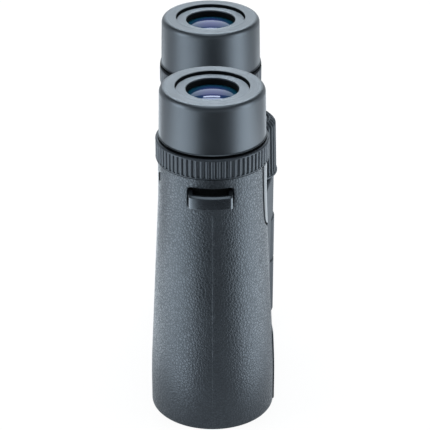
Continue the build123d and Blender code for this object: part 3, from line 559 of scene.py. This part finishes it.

# painted reflection: core and rim are base colours standing in for the coloured reflections of the coat;
# tint colours the gloss itself
eyeCoatAndPaintedReflection = {
    "radius": 11 * mm,
    "core": (0.016, 0.02, 0.09, 1.0),
    "rim": (0.002, 0.034, 0.05, 1.0),
    "tint": (0.36, 0.42, 0.85, 1.0),
}
frontCoatAndPaintedReflection = {
    "radius": 21 * mm,
    "core": (0.012, 0.02, 0.04, 1.0),
    "rim": (0.02, 0.008, 0.03, 1.0),
    "tint": (0.55, 0.85, 0.75, 1.0),
}
for side in sides:
    eyeGlass = paintedReflectionLens(f"{side}_eye_glass", barrel[side], **eyeCoatAndPaintedReflection)
    nodes[f"{side}_eye_lens"].data.materials[0] = eyeGlass
    frontGlass = paintedReflectionLens(f"{side}_front_glass", barrel[side], **frontCoatAndPaintedReflection)
    nodes[f"{side}_objective_crown"].data.materials[0] = frontGlass
print("carried nodes: finished")


# eyecups: soft rubber sleeves with a rounded brow and fine rings on the rim

eyecupLook = {
    "base": 21.05,
    "rim": 20.65,
    "brow": (2.0, 2.3),  # rounding of the outer edge, across and up
    "foot": (20.85, 0.35),  # painted shade: black foot ring in the dark gap under the eyecup: radius and height
    "hem": (0.4, 0.05, 0.35),  # flare above it: outwards, straight height, height in all
    "bore": 14.6,
    "sleeve": 19.05,  # inside, round the core
    "lip": 3.15,
    "proud": 0.55,  # the soft rim swells above its core
    "rings": (15.9, 16.6, 17.3, 18.0),
    "groove": (0.16, 0.05),  # half-width and depth of the rings
    "lining": (0.3, 0.25),  # black lining in the bore: thickness, and how far below the rim
    "ridges": (0.3, 0.55, 0.8),  # down the lining, as shares of its height
    "ridge": (0.2, 0.15),  # half-height and depth
}


def addEyecup(side):
    look = eyecupLook
    node, body, slot = f"{side}_eyecup_rubber", f"{side}_eyecup", "eyecup_rubber"
    low, high = (corner.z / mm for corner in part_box(node))
    base, bore, sleeve = look["base"], look["bore"], look["sleeve"]
    (flare, straight, hem), (footRadius, rise) = look["hem"], look["foot"]
    foot, top = low + rise, high + look["proud"]
    corners = [(sleeve, foot, 0), (base + flare, foot, 0), (base + flare, foot + straight, 0)]
    corners += [(base, foot + hem, 0.1), (look["rim"], top, *look["brow"])]
    corners += grooves(look["rings"], top, *look["groove"])
    thickness, drop = look["lining"]
    step, back, lip = top - drop, bore + thickness, high - look["lip"]
    corners += [(bore, top, 0.15), (bore, step, 0), (back, step, 0), (back, lip, 0), (sleeve, lip, 0)]
    piece = addTurned(f"{side}_eyecup_sleeve", corners, barrel[side], eyecupRubberFinish, arcSteps=10)
    standFor(piece, body, node)
    corners = [(back, lip, 0), (back, step, 0), (bore, step, 0.1)]
    half, depth = look["ridge"]
    for share in look["ridges"]:
        ridge = step + (lip - step) * share
        corners += [(bore, ridge + half, 0), (bore + depth, ridge, 0), (bore, ridge - half, 0)]
    corners += [(bore, lip, 0)]
    addBlackRing(f"{side}_eyecup_lining", corners, side, body)
    # painted shade: the matt black foot stands for the shadow in the gap under the eyecup
    addBlackRing(f"{side}_eyecup_foot", band(sleeve, footRadius, low, foot), side, body)


# eyepiece bezels: turned rings with a stepped mouth round the eye lens

bezelLook = {
    "outer": 13.0,
    "flange": (13.95, 0.3),  # radius and thickness over the tube's end
    "opening": 10.1,
    "rings": (11.0, 11.6, 12.2, 12.8, 13.4),
    "groove": (0.14, 0.06),  # half-width and depth of the rings
    "liner": 0.35,  # matt black lining of the mouth, ridged against stray light
    "ridges": (0.25, 0.45, 0.65, 0.85),  # down the liner, as shares of its height
    "ridge": 0.2,
    "finish": {"level": 0.02, "rough": 0.38, "pitch": 0.3 * mm, "depth": 0.006 * mm, "gloss": 1.0},
}


def addBezel(side):
    look = bezelLook
    node, body, slot = f"{side}_eyepiece_bezel", f"{side}_half", "ring_anodised"
    low, high = (corner.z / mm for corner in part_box(node))
    opening, outer = look["opening"], look["outer"]
    mouth = opening + look["liner"]
    brim, thickness = look["flange"]
    face = high + thickness
    corners = [(mouth, low, 0), (outer, low, 0), (outer, high, 0), (brim, high, 0), (brim, face, 0)]
    corners += grooves(look["rings"], face, *look["groove"])
    corners += [(mouth, face, 0.15)]
    finish = turned(f"{side}_bezel_finish", barrel[side], **look["finish"])
    piece = addTurned(f"{side}_bezel_ring", corners, barrel[side], finish)
    standFor(piece, body, node)
    corners = [(mouth, high - 0.25, 0), (opening + 0.12, high - 0.2, 0.08)]
    for share in look["ridges"]:
        ridge = high + (low - high) * share
        corners += [(opening, ridge, 0), (opening + look["ridge"], ridge - look["ridge"], 0)]
    corners += [(opening, low, 0), (mouth, low, 0)]
    addBlackRing(f"{side}_bezel_mouth", corners, side, body)


# objective rings: black anodised, stepped and threaded against stray light

hoodLook = {
    "outer": 22.2,
    "aperture": 21.0,
    "bevel": 0.8,
    "threads": 4,
    "threadDepth": 0.22,
    "plain": 0.2,  # left plain at both ends of the threads
}


def addObjectiveRing(side):
    look = hoodLook
    node = f"{side}_objective_ring"
    low, high = (corner.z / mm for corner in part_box(node))
    outer, aperture, bevel, plain = look["outer"], look["aperture"], look["bevel"], look["plain"]
    corners = [(outer, low, 0.12), (outer, high, 0), (aperture, high, 0)]
    pitch = (high - low - bevel - 2 * plain) / look["threads"]
    for k in reversed(range(look["threads"])):
        foot = low + bevel + plain + k * pitch
        corners += [(aperture, foot + pitch * 0.9, 0)]
        corners += [(aperture + look["threadDepth"], foot + pitch * 0.5, 0)]
        corners += [(aperture, foot + pitch * 0.1, 0)]
    corners += [(aperture, low + bevel, 0.15), (aperture + bevel, low, 0.15)]
    piece = addTurned(f"{side}_hood_ring", corners, barrel[side], anodised)
    standFor(piece, f"{side}_half", node)


# diopter ring: straight ribs between two plain rims

diopterLook = {
    "radius": 22.4,
    "depth": 0.55,
    "bore": 19.55,
    "rims": (0.35, 0.75),  # plain stretch below and above the ribs
    "round": (1.0, 0.75),  # top edge, across and up
    "shadeBand": (21.5, 0.06),  # painted shade: black top face in the shadow under the eyecup: outer radius and rise
    "ribs": 64,
    "ribWidth": 1.5,
    "ribCurve": 0.95,  # radius of the rounded back
    "ribRoot": 0.3,  # how far a rib reaches into the body
    "steps": 384,
    "lip": (21.65, 0.5),  # the ring's edge reaches over the armour: inner radius, and how far down
    "shadeSkirt": (22.25, 0.4),  # painted shade: black edge below it, standing for the shadow gap: outer radius and height
}


def ribSection(height):
    # rounded rib of the ring and the collar
    look = diopterLook
    half, curve, root = look["ribWidth"] / 2, look["ribCurve"], look["ribRoot"]
    lean = math.asin(half / curve)
    section = [(-half, -root), (half, -root)]
    for k in range(13):
        turn = lean * (1 - k / 6)
        section.append((curve * math.sin(turn), height - 0.03 - curve * (1 - math.cos(turn))))
    return section


def addDiopterRing():
    look = diopterLook
    node, body, slot = "diopter_ring", "diopter_ring", "diopter_plastic"
    axis = barrel["right"]
    low, high = (corner.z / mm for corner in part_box(node))
    radius, bore = look["radius"], look["bore"]
    floor = radius - look["depth"]
    lipBore, drop = look["lip"]
    foot = low - drop
    below, above = foot + look["rims"][0], high - look["rims"][1]
    corners = [(bore, low, 0), (lipBore, low, 0), (lipBore, foot, 0), (radius, foot, 0.12)]
    corners += [(radius, below, 0.1), (floor, below + 0.15, 0.1), (floor, above - 0.15, 0.1)]
    corners += [(radius, above, 0), (radius, high, *look["round"]), (bore, high, 0)]
    ring = lathe(rounded(corners), axis, look["steps"])
    rib = sweep([(floor, foot + 0.2, 0), (floor, above + 0.1, 0)], ribSection(look["depth"]))
    piece = addRibbed("diopter_grip", ring, rib, look["ribs"], axis, ribPlastic)
    standFor(piece, body, node)
    # painted shade: a matt black band under the lip where the shadow gap falls
    edge, height = look["shadeSkirt"]
    hem = foot - height
    corners = [(lipBore, hem, 0), (edge, hem, 0.1), (edge, foot, 0), (lipBore, foot, 0)]
    addBlackRing("diopter_skirt", corners, "right", body)
    # painted shade: a black band on the ring's top face, standing for the shadow under the eyecup
    edge, rise = look["shadeBand"]
    addBlackRing("diopter_inlay", band(bore, edge, high, high + rise), "right", body)


# left barrel's collar: low fixed ribs to match the diopter ring, and a black edge under the eyecup as
# painted shade

collarLook = {
    "radius": 21.58,
    "skin": 21.4,  # inside, in the armour
    "ends": (0.4, 0.9),  # stretch left plain below and above the ribs
    "rise": 0.18,  # of the ribs
    "edge": (19.6, 21.5, 21.62),  # painted shade: black edge in the shadow under the eyecup: bore, armour's radius, outer radius
    "lap": (0.7, 0.3),  # how far it reaches down over the armour, and stands above it
}


def addCollar():
    look = collarLook
    body, slot, axis = "left_half", "armour_rubber", barrel["left"]
    low, high = (corner.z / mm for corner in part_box("diopter_ring"))
    radius = look["radius"]
    foot, brow = low + look["ends"][0], high - look["ends"][1]
    ring = lathe(rounded(band(look["skin"], radius, foot, brow)), axis, diopterLook["steps"])
    rib = sweep([(radius, foot + 0.2, 0), (radius, brow - 0.2, 0)], ribSection(look["rise"]))
    piece = addRibbed("left_collar", ring, rib, diopterLook["ribs"], axis, ribPlastic)
    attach(piece, body)
    # painted shade: the black edge stands for the shadow under the eyecup
    (bore, armour, outer), (lap, rise) = look["edge"], look["lap"]
    corners = [(bore, high, 0), (armour, high, 0), (armour, high - lap, 0), (outer, high - lap, 0)]
    corners += [(outer, high + rise, 0.1), (bore, high + rise, 0)]
    addBlackRing("left_collar_edge", corners, "left", body)


# focus wheel: ribs run from the foot over the bevelled brow

wheelLook = {
    "lip": 13.4,
    "lipHeight": 0.9,
    "radius": 13.0,
    "flare": 2.0,
    "shoulder": 12.5,
    "bevelHeight": 2.0,
    "bevel": 1.7,
    "core": 10.55,
    "rimBore": 9.3,
    "rimHeight": 1.6,
    "depth": 0.6,
    "ribs": 36,
    "ribWidth": 1.25,
    "ribRound": 0.3,
}


def addFocusWheel():
    look = wheelLook
    low, high = (corner.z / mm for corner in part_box("focus_wheel_grip"))
    foot = low + look["lipHeight"]
    brow = high - look["bevelHeight"]
    depth = look["depth"]
    corners = [
        (look["core"], low, 0),
        (look["lip"], low, 0.3),
        (look["lip"], foot, 0.3),
        (look["radius"] - depth, foot + look["flare"] * 0.5, 0.4),
        (look["shoulder"] - depth, brow, 0.8),
        (look["shoulder"] - look["bevel"] - depth * 0.6, high - 0.25, 0.3),
        (look["rimBore"] + 0.4, high - 0.1, 0.2),
        (look["rimBore"], high - 0.6, 0.15),
        (look["rimBore"], high - look["rimHeight"], 0),
        (look["core"], high - look["rimHeight"], 0),
    ]
    slope = math.degrees(math.atan2(look["bevel"], look["bevelHeight"]))
    lip, radius = look["lip"], look["radius"]
    flare = [(0.0, lip - 0.15), (0.4, lip - 0.22), (1.2, radius + 0.08), (2.0, radius)]  # rise and radius
    path = [(out - depth, foot - 0.3 + rise, 0.0) for rise, out in flare]
    path += [(look["shoulder"] - depth, brow - 0.7, 0.0)]
    bend = (look["shoulder"] - depth, brow)
    for share in (0.25, 0.5, 0.75, 1.0):
        lean = slope * share
        path.append((bend[0] - 0.35 * share * share, bend[1] - 0.35 + 0.6 * share, lean))
    path.append((look["shoulder"] - look["bevel"] - depth * 0.72, high - 0.47, slope))
    path.append((look["shoulder"] - look["bevel"] - depth * 1.1, high - 0.34, 85.0))
    half, curve = look["ribWidth"] / 2, look["ribRound"]
    section = [(-half - 0.1, -0.25, 0), (half + 0.1, -0.25, 0)]
    section += [(half * 0.9, depth, curve), (-half * 0.9, depth, curve)]
    tread = lathe(rounded(corners), hinge, 216)
    rib = sweep(path, rounded(section, 3))
    piece = addRibbed("focus_wheel_tread", tread, rib, look["ribs"], hinge, wheelRubber)
    standFor(piece, "focus_wheel", "focus_wheel_grip")


# wheel cap: dished disc with turned rings

capLook = {
    "radius": 9.2,
    "hub": 0.02,  # a hair's breadth left at the axis
    "dish": 0.45,
    "rings": (3.0, 5.0, 7.0),
    "groove": (0.2, 0.12),  # half-width and depth of the rings
    "finish": {"level": 0.014, "rough": 0.5, "pitch": 0.35 * mm, "depth": 0.006 * mm},
}


def addWheelCap():
    look = capLook
    low, high = (corner.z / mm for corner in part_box("focus_wheel_cap"))
    radius, hub, floor = look["radius"], look["hub"], high - look["dish"]
    corners = [(hub, low, 0), (radius, low, 0), (radius, high, 0.3), (radius - 0.9, high, 0.15)]
    corners += [(radius - 1.3, floor, 0.2)]
    corners += grooves(look["rings"], floor, *look["groove"])
    corners += [(hub, floor, 0)]
    finish = turned("wheel_cap_finish", hinge, **look["finish"])
    piece = addTurned("focus_wheel_disc", corners, hinge, finish, steps=144)
    standFor(piece, "focus_wheel", "focus_wheel_cap")


# grip armour: grained rubber moulding with softened cut edges

gripLook = {
    "foot": 25.4,
    "neck": 21.5,
    "taper": (17.0, 97.0),
    "ease": 300.0,
    "thickness": 1.75,
    "footBore": 22.3,
    "footHeight": 1.5,
    "front": 84.0,  # degrees from the outer side to the edge on the wheel side
    "back": 105.0,
    "shield": [(8.65, 116.0), (7.1, 84.9), (-36.3, 69.0)],  # panel's outline: outwards from the axis, up
    "shieldRound": 7.0,
    "pocketRoom": (0.5, 1.6, 1.6),  # round the strap lug: at its ends, below and above
    "pocketRound": 1.2,
    "edgeRound": (0.4, 0.4),  # width and drop of the softened edges
    "shieldEdge": (1.5, 0.65),  # the same along the bridge panel
    "grid": 1.3,
}


def skinRadius(height):
    look = gripLook
    low, high = look["taper"]
    slope = (look["foot"] - look["neck"]) / (high - low)
    reach = look["ease"] * math.tan(math.atan(slope) / 2)
    line = look["foot"] - slope * (height - low)
    if abs(height - low) < reach:
        return look["foot"] - (height - low + reach) ** 2 / (2 * look["ease"])
    if abs(height - high) < reach:
        return look["neck"] + (high + reach - height) ** 2 / (2 * look["ease"])
    return min(look["foot"], max(look["neck"], line))


def spread(loop, step):
    # closed loop with its long runs divided
    points = []
    for k, here in enumerate(loop):
        there = loop[(k + 1) % len(loop)]
        length = math.dist(here, there)
        count = max(1, round(length / step))
        points += [tuple(a + (b - a) * i / count for a, b in zip(here, there)) for i in range(count)]
    return points


def inset(loop, amounts):
    # every corner of an anticlockwise loop moved inwards
    moved = []
    for k, (here, amount) in enumerate(zip(loop, amounts)):
        before = (Vector(here) - Vector(loop[k - 1])).normalized()
        after = (Vector(loop[(k + 1) % len(loop)]) - Vector(here)).normalized()
        lean = Vector((-before.y - after.y, before.x + after.x)).normalized()
        stretch = min(2.0, 1 / max(0.3, lean.dot(Vector((-before.y, before.x)))))
        moved.append((here[0] + lean.x * amount * stretch, here[1] + lean.y * amount * stretch))
    return moved


def inside(point, loop):
    # even-odd test
    px, py = point
    odd = False
    for k, (x, y) in enumerate(loop):
        lastX, lastY = loop[k - 1]
        if (y > py) != (lastY > py) and px < (lastX - x) * (py - y) / (lastY - y) + x:
            odd = not odd
    return odd


def addGrip(side):
    look = gripLook
    node = f"{side}_grip_armour"
    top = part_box(node)[1].z / mm
    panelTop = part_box("right_grip_armour")[1].z / mm
    flat = look["neck"]  # bearings times this radius lay the skin out flat

    def across(out, height):
        return flat * math.acos(out / skinRadius(height))

    front, back = math.radians(look["front"]) * flat, -math.radians(look["back"]) * flat
    (topOut, topUp), (lowOut, lowUp), (farOut, farUp) = look["shield"]
    topOut = lowOut + (topOut - lowOut) * (panelTop - lowUp) / (topUp - lowUp)
    limit = math.cos(math.radians(look["front"]))
    edge = [(topOut, panelTop, 0), (lowOut, lowUp, look["shieldRound"]), (farOut, farUp, 0)]
    edge = rounded(edge, 16)[:-1]
    edge = [(across(out, up), up) for out, up in edge if out / skinRadius(up) > limit]
    loop = [(back, 0.0), (front, 0.0), (front, edge[-1][1])] + edge[::-1]
    if side == "left":  # the rubber closes over the panel, where the other barrel has its ring
        loop += [(front, panelTop), (front, top)]
    loop += [(back, top)]
    lugLow, lugHigh = (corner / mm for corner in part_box(f"{side}_strap_lug"))
    ends, below, above = look["pocketRoom"]
    first, last = barrel[side].y / mm - lugHigh.y - ends, barrel[side].y / mm - lugLow.y + ends
    low, high, bend = lugLow.z - below, lugHigh.z + above, look["pocketRound"]
    hole = rounded([(first, low, bend), (last, low, bend), (last, high, bend), (first, high, bend)], 5)
    hole = [(flat * math.asin(y / skinRadius(z)), z) for y, z in spread(hole, look["grid"])]
    loop = spread(loop, look["grid"])
    # rows of the softened edge: share of its width, and how far it drops there
    rows = [(0.0, 1.0), (0.3, 0.29), (0.65, 0.06), (1.0, 0.0)]
    flatPoints, drops, rims = [], [], []
    for ring in (loop, hole[::-1]):
        byPanel = [u > front / 2 and edge[-1][1] < up < panelTop for u, up in ring]
        soft = [look["shieldEdge" if panel else "edgeRound"] for panel in byPanel]
        for share, drop in rows:
            start = len(flatPoints)
            flatPoints += inset(ring, [share * width for width, _ in soft])
            drops += [drop * fall for _, fall in soft]
            if share == 0.0:
                rims.append(list(range(start, start + len(ring))))
    taken = KDTree(len(flatPoints))
    for k, point in enumerate(flatPoints):
        taken.insert((*point, 0.0), k)
    taken.balance()
    wide, tall = int((front - back) / look["grid"]), int(top / look["grid"])
    for i in range(1, wide):
        for j in range(1, tall):
            point = (back + (front - back) * i / wide, top * (j + 0.5 * (i % 2)) / tall)
            near = taken.find((*point, 0.0))[2] < 0.7 * look["grid"]
            if near or inside(point, hole) or not inside(point, loop):
                continue
            flatPoints.append(point)
            drops.append(0.0)
    edges = [(rim[k - 1], rim[k]) for rim in rims for k in range(len(rim))]
    solved = delaunay_2d_cdt([Vector(p) for p in flatPoints], edges, [], 1, 1e-6)
    flatPoints, triangles = [tuple(p) for p in solved[0]], solved[2]
    source = [inputs[0] for inputs in solved[3]]
    points = []
    for depth in (0.0, look["thickness"]):
        for k, (u, up) in enumerate(flatPoints):
            radius = skinRadius(up) - (depth or drops[source[k]])
            if depth and up < look["footHeight"]:
                radius = look["footBore"]
            bearing = u / flat
            points.append((
                barrel[side].x + outward[side] * radius * math.cos(bearing) * mm,
                barrel[side].y - radius * math.sin(bearing) * mm,
                up * mm,
            ))
    count = len(flatPoints)
    keep = []
    for tri in triangles:
        u, up = (sum(flatPoints[k][axis] for k in tri) / 3 for axis in (0, 1))
        if inside((u, up), loop) and not inside((u, up), hole):
            keep.append(tuple(tri))
    faces = keep + [tuple(k + count for k in reversed(tri)) for tri in keep]
    place = {old: new for new, old in enumerate(source)}
    for rim in rims:
        for k in range(len(rim)):
            a, b = place[rim[k - 1]], place[rim[k]]
            faces.append((b, a, a + count, b + count))
    if side == "left":
        faces = [face[::-1] for face in faces]
    piece = addPiece(f"{side}_grip_skin", points, faces, armourGrain)
    standFor(piece, f"{side}_half", node)


# strap lugs: a bar bowed round the barrel, its top bevelled and its ends rounded

lugLook = {
    "outer": 25.8,
    "bar": 1.9,
    "slot": 7.0,  # half-width of the strap's way behind the bar
    "root": 19.9,  # the ends reach in to the housing
    "bevel": (0.9, 0.63),  # along the top's outer edge, across and up
    "edgeRound": 0.25,
    "endRound": 0.8,
}


def addLug(side):
    look = lugLook
    node = f"{side}_strap_lug"
    low, high = (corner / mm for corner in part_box(node))
    axis = barrel[side] / mm
    half, slot = (high.y - low.y) / 2, look["slot"]
    back = look["outer"] - look["bar"]
    cuts = []  # sections of the bar: along, inner and outer radius
    for k in range(7):
        turn = math.radians(15 * k)
        fall, step = look["endRound"] * (1 - math.sin(turn)), look["endRound"] * (1 - math.cos(turn))
        cuts.append((step - half, look["root"], look["outer"] - fall))
    cuts += [(-slot - 0.02, look["root"], look["outer"])]
    cuts += [(slot * (k / 8 - 1), back - 0.02, look["outer"]) for k in range(9)]
    cuts += [(-along, inner, outer) for along, inner, outer in reversed(cuts[:-1])]
    points = []
    for along, inner, outer in cuts:
        section = rounded([
            (inner, low.z, 0),
            (outer, low.z, look["edgeRound"]),
            (outer, high.z - look["bevel"][1], look["edgeRound"]),
            (outer - look["bevel"][0], high.z, 0.15),
            (inner, high.z, 0),
        ], 4)
        y = (low.y + high.y) / 2 + along
        for radius, up in section:
            x = axis.x + outward[side] * math.sqrt(radius ** 2 - (y - axis.y) ** 2)
            points.append((x * mm, y * mm, up * mm))
    count = len(section)
    faces = [tuple(range(count)), tuple(range(len(points) - 1, len(points) - count - 1, -1))]
    for i in range(len(cuts) - 1):
        for k in range(count):
            n = (k + 1) % count
            faces.append((i * count + k, (i + 1) * count + k, (i + 1) * count + n, i * count + n))
    if side == "right":
        faces = [face[::-1] for face in faces]
    piece = addPiece(f"{side}_lug_bar", points, faces, lugPlastic)
    standFor(piece, f"{side}_half", node)


# index for the diopter ring: a small raised tick under it

indexLook = {"bearing": 105.0, "foot": 104.3, "top": 108.2, "width": 0.9, "proud": 0.25}


def addIndex():
    look = indexLook
    half, proud = look["width"] / 2, look["proud"]
    section = rounded([(-half, -0.4, 0), (half, -0.4, 0), (half, proud, 0.2), (-half, proud, 0.2)], 4)
    foot, top = look["foot"], look["top"]
    path = [(skinRadius(foot) - 0.3, foot, 0), (skinRadius(foot), foot + 0.3, 0)]
    path += [(skinRadius(top), top - 0.3, 0), (skinRadius(top) - 0.3, top, 0)]
    points, faces = sweep(path, section)
    turn = Quaternion((0, 0, 1), math.radians(look["bearing"]))
    axis = Vector((barrel["right"].x, barrel["right"].y, 0.0))
    points = [tuple(axis + turn @ Vector(point)) for point in points]
    piece = addPiece("diopter_index", points, faces, mattBlack)
    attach(piece, "right_half")


for side in sides:
    addEyecup(side)
    addBezel(side)
    addObjectiveRing(side)
    addGrip(side)
    addLug(side)
print("barrels: eyecups, bezels, hoods, grips and lugs")
addDiopterRing()
addCollar()
addIndex()
addFocusWheel()
addWheelCap()
print("turning parts: diopter ring and focus wheel")


# stage, lights and camera

stageLook = {
    "reach": 6.0,
    "floor": (0.86, 0.86, 0.86, 1.0),
    "white": (1.0, 1.0, 1.0, 1.0),
    "cool": (0.86, 0.93, 1.0, 1.0),  # the surround as gloss sees it
    "whiteShare": 0.92,
    "front": 0.06,  # how much of the white gloss picks up from the floor ahead of the object
    "frontEdge": (0.66, 0.90),  # share of the bearing that lies ahead, from white to dark
    "frontReach": (0.08, 0.19),
    "world": 0.35,
    "ceiling": 0.12,  # gloss sees the white backdrop darken overhead
    "backdropEdge": (0.12, 0.52),
}


def rays(wire):
    return [wire.node("LightPath", out=f"Is {kind} Ray") for kind in ("Camera", "Glossy", "Transmission")]


def addStage():
    look = stageLook
    material, wire = newFinish("pale_floor")
    camera, glossy, through = rays(wire)
    place = wire.node("TexCoord", out="Object")
    flat = wire.node("VectorMath", {"operation": "NORMALIZE"}, {0: place})
    facing = {0: flat, 1: (-1.0, 0.0, 0.0)}
    ahead = wire.node("VectorMath", {"operation": "DOT_PRODUCT"}, facing, out="Value")
    away = wire.node("VectorMath", {"operation": "LENGTH"}, {0: place}, out="Value")
    shade = 1 - (1 - look["front"]) * ahead.rise(*look["frontEdge"]) * away.rise(*look["frontReach"])
    seen = camera.math("MAXIMUM", through)
    lit = wire.node("BsdfDiffuse", None, {"Color": look["floor"]})
    glow = seen.mix(look["cool"], look["white"])
    white = wire.node("Emission", None, {"Color": glow, "Strength": seen.math("MAXIMUM", shade)})
    share = look["whiteShare"] * seen + glossy
    mixed = wire.node("MixShader", None, {0: share, 1: lit, 2: white})
    wire.node("OutputMaterial", None, {"Surface": mixed})
    half = look["reach"] / 2
    corners = [(-half, -half, 0), (half, -half, 0), (half, half, 0), (-half, half, 0)]
    floor = addPiece("floor", corners, [(0, 1, 2, 3)], material)
    world = bpy.data.worlds.new("studio")
    bpy.context.scene.world = world
    world.use_nodes = True
    world.node_tree.nodes.clear()
    wire = Wire(world.node_tree)
    camera, glossy, through = rays(wire)
    up = wire.node("SeparateXYZ", None, {0: wire.node("TexCoord", out="Object")}, out="Z")
    shine = 1 - (1 - look["ceiling"]) * up.rise(*look["backdropEdge"])
    seen = camera.math("MAXIMUM", through)
    level = (look["world"] * (1 - glossy) + shine * glossy).math("MAXIMUM", seen)
    glow = glossy.mix(look["white"], look["cool"])
    backdrop = wire.node("Background", None, {"Color": glow, "Strength": level})
    wire.node("OutputWorld", None, {"Surface": backdrop})


softboxes = {
    "left": {"bearing": 70, "reach": 0.55, "height": 0.19, "size": (0.24, 0.42), "power": 2.4},
    "right": {"bearing": -70, "reach": 0.55, "height": 0.19, "size": (0.24, 0.42), "power": 2.2},
    "back": {"bearing": 180, "reach": 0.62, "height": 0.38, "size": (0.76, 0.25), "power": 1.1},
    "strip": {"bearing": 180, "reach": 0.564, "height": 0.559, "size": (0.13, 0.04), "power": 0.25},
    "top": {"bearing": 180, "reach": 0.46, "height": 0.66, "size": (0.5, 0.21), "power": 3.4},
    "crown": {"bearing": 180, "reach": 0.07, "height": 0.95, "size": (0.6, 1.1), "power": 5.0},
}
# light panels flat on the floor at both sides, their inner edges along a bearing from the near barrel
panels = {
    "left": {"bearing": 32, "turn": 1, "along": (0.05, 0.55), "across": (0.0, 0.24), "power": 1.35},
    "right": {"bearing": 49, "turn": -1, "along": (0.05, 0.55), "across": (0.0, 0.24), "power": 1.35},
    "leftSide": {"bearing": 90, "turn": 1, "along": (0.05, 0.20), "across": (0.0, 0.09), "power": 0.07},
    "leftRim": {"bearing": 140, "turn": 1, "along": (0.12, 0.42), "across": (0.0, 0.10), "power": 0.20},
    "rightRim": {"bearing": 140, "turn": -1, "along": (0.12, 0.42), "across": (0.0, 0.10), "power": 0.12},
}
lampTint = (0.84, 0.93, 1.0)


def addLamp(name, size, power, place, aim):
    lamp = bpy.data.lights.new(name, "AREA")
    lamp.shape = "RECTANGLE"
    lamp.size, lamp.size_y = size
    lamp.energy = power
    lamp.color = lampTint
    light = bpy.data.objects.new(name, lamp)
    light.location = place
    light.rotation_mode = "QUATERNION"
    light.rotation_quaternion = aim
    light.visible_camera = False
    bpy.context.scene.collection.objects.link(light)


def addLights():
    target = Vector((0.0, 0.0, 0.07))  # about half the object's height
    for name, look in softboxes.items():
        bearing = math.radians(look["bearing"])
        reach = look["reach"]
        place = Vector((-reach * math.cos(bearing), reach * math.sin(bearing), look["height"]))
        aim = (target - place).to_track_quat("-Z", "Y")
        addLamp(f"softbox_{name}", look["size"], look["power"], place, aim)
    for name, look in panels.items():
        bearing = math.radians(look["bearing"])
        ahead = Vector((-math.cos(bearing), look["turn"] * math.sin(bearing), 0.0))
        aside = Vector((math.sin(bearing), look["turn"] * math.cos(bearing), 0.0))
        along, across = sum(look["along"]) / 2, sum(look["across"]) / 2
        place = Vector((barrel["right"].x, barrel["right"].y, 0.001)) + ahead * along + aside * across
        size = (look["along"][1] - look["along"][0], look["across"][1] - look["across"][0])
        turn = Quaternion((1, 0, 0), math.pi)  # facing up
        spin = Quaternion((0, 0, 1), math.atan2(ahead.y, ahead.x))
        addLamp(f"panel_{name}", size, look["power"], place, spin @ turn)


cameraLook = {
    "lens": 150.26,  # for a sensor 36 mm wide
    "place": (-672.7 * mm, 6.07 * mm, 419.92 * mm),  # y is from the barrels' axes
    "pitch": 27.678,
    "yaw": -0.6394,
}


def addCamera():
    look = cameraLook
    data = bpy.data.cameras.new("camera")
    data.lens = look["lens"]
    data.sensor_width = 36.0
    data.clip_start = 0.01
    camera = bpy.data.objects.new("camera", data)
    x, y, z = look["place"]
    camera.location = (x, barrel["right"].y + y, z)
    pitch, yaw = math.radians(look["pitch"]), math.radians(look["yaw"])
    ahead = Vector((math.cos(pitch) * math.cos(yaw), math.cos(pitch) * math.sin(yaw), -math.sin(pitch)))
    camera.rotation_mode = "QUATERNION"
    camera.rotation_quaternion = ahead.to_track_quat("-Z", "Y")
    bpy.context.scene.collection.objects.link(camera)
    bpy.context.scene.camera = camera


addStage()
addLights()
addCamera()
bpy.context.scene.view_settings.view_transform = "Standard"
print("stage: floor, lights and camera")
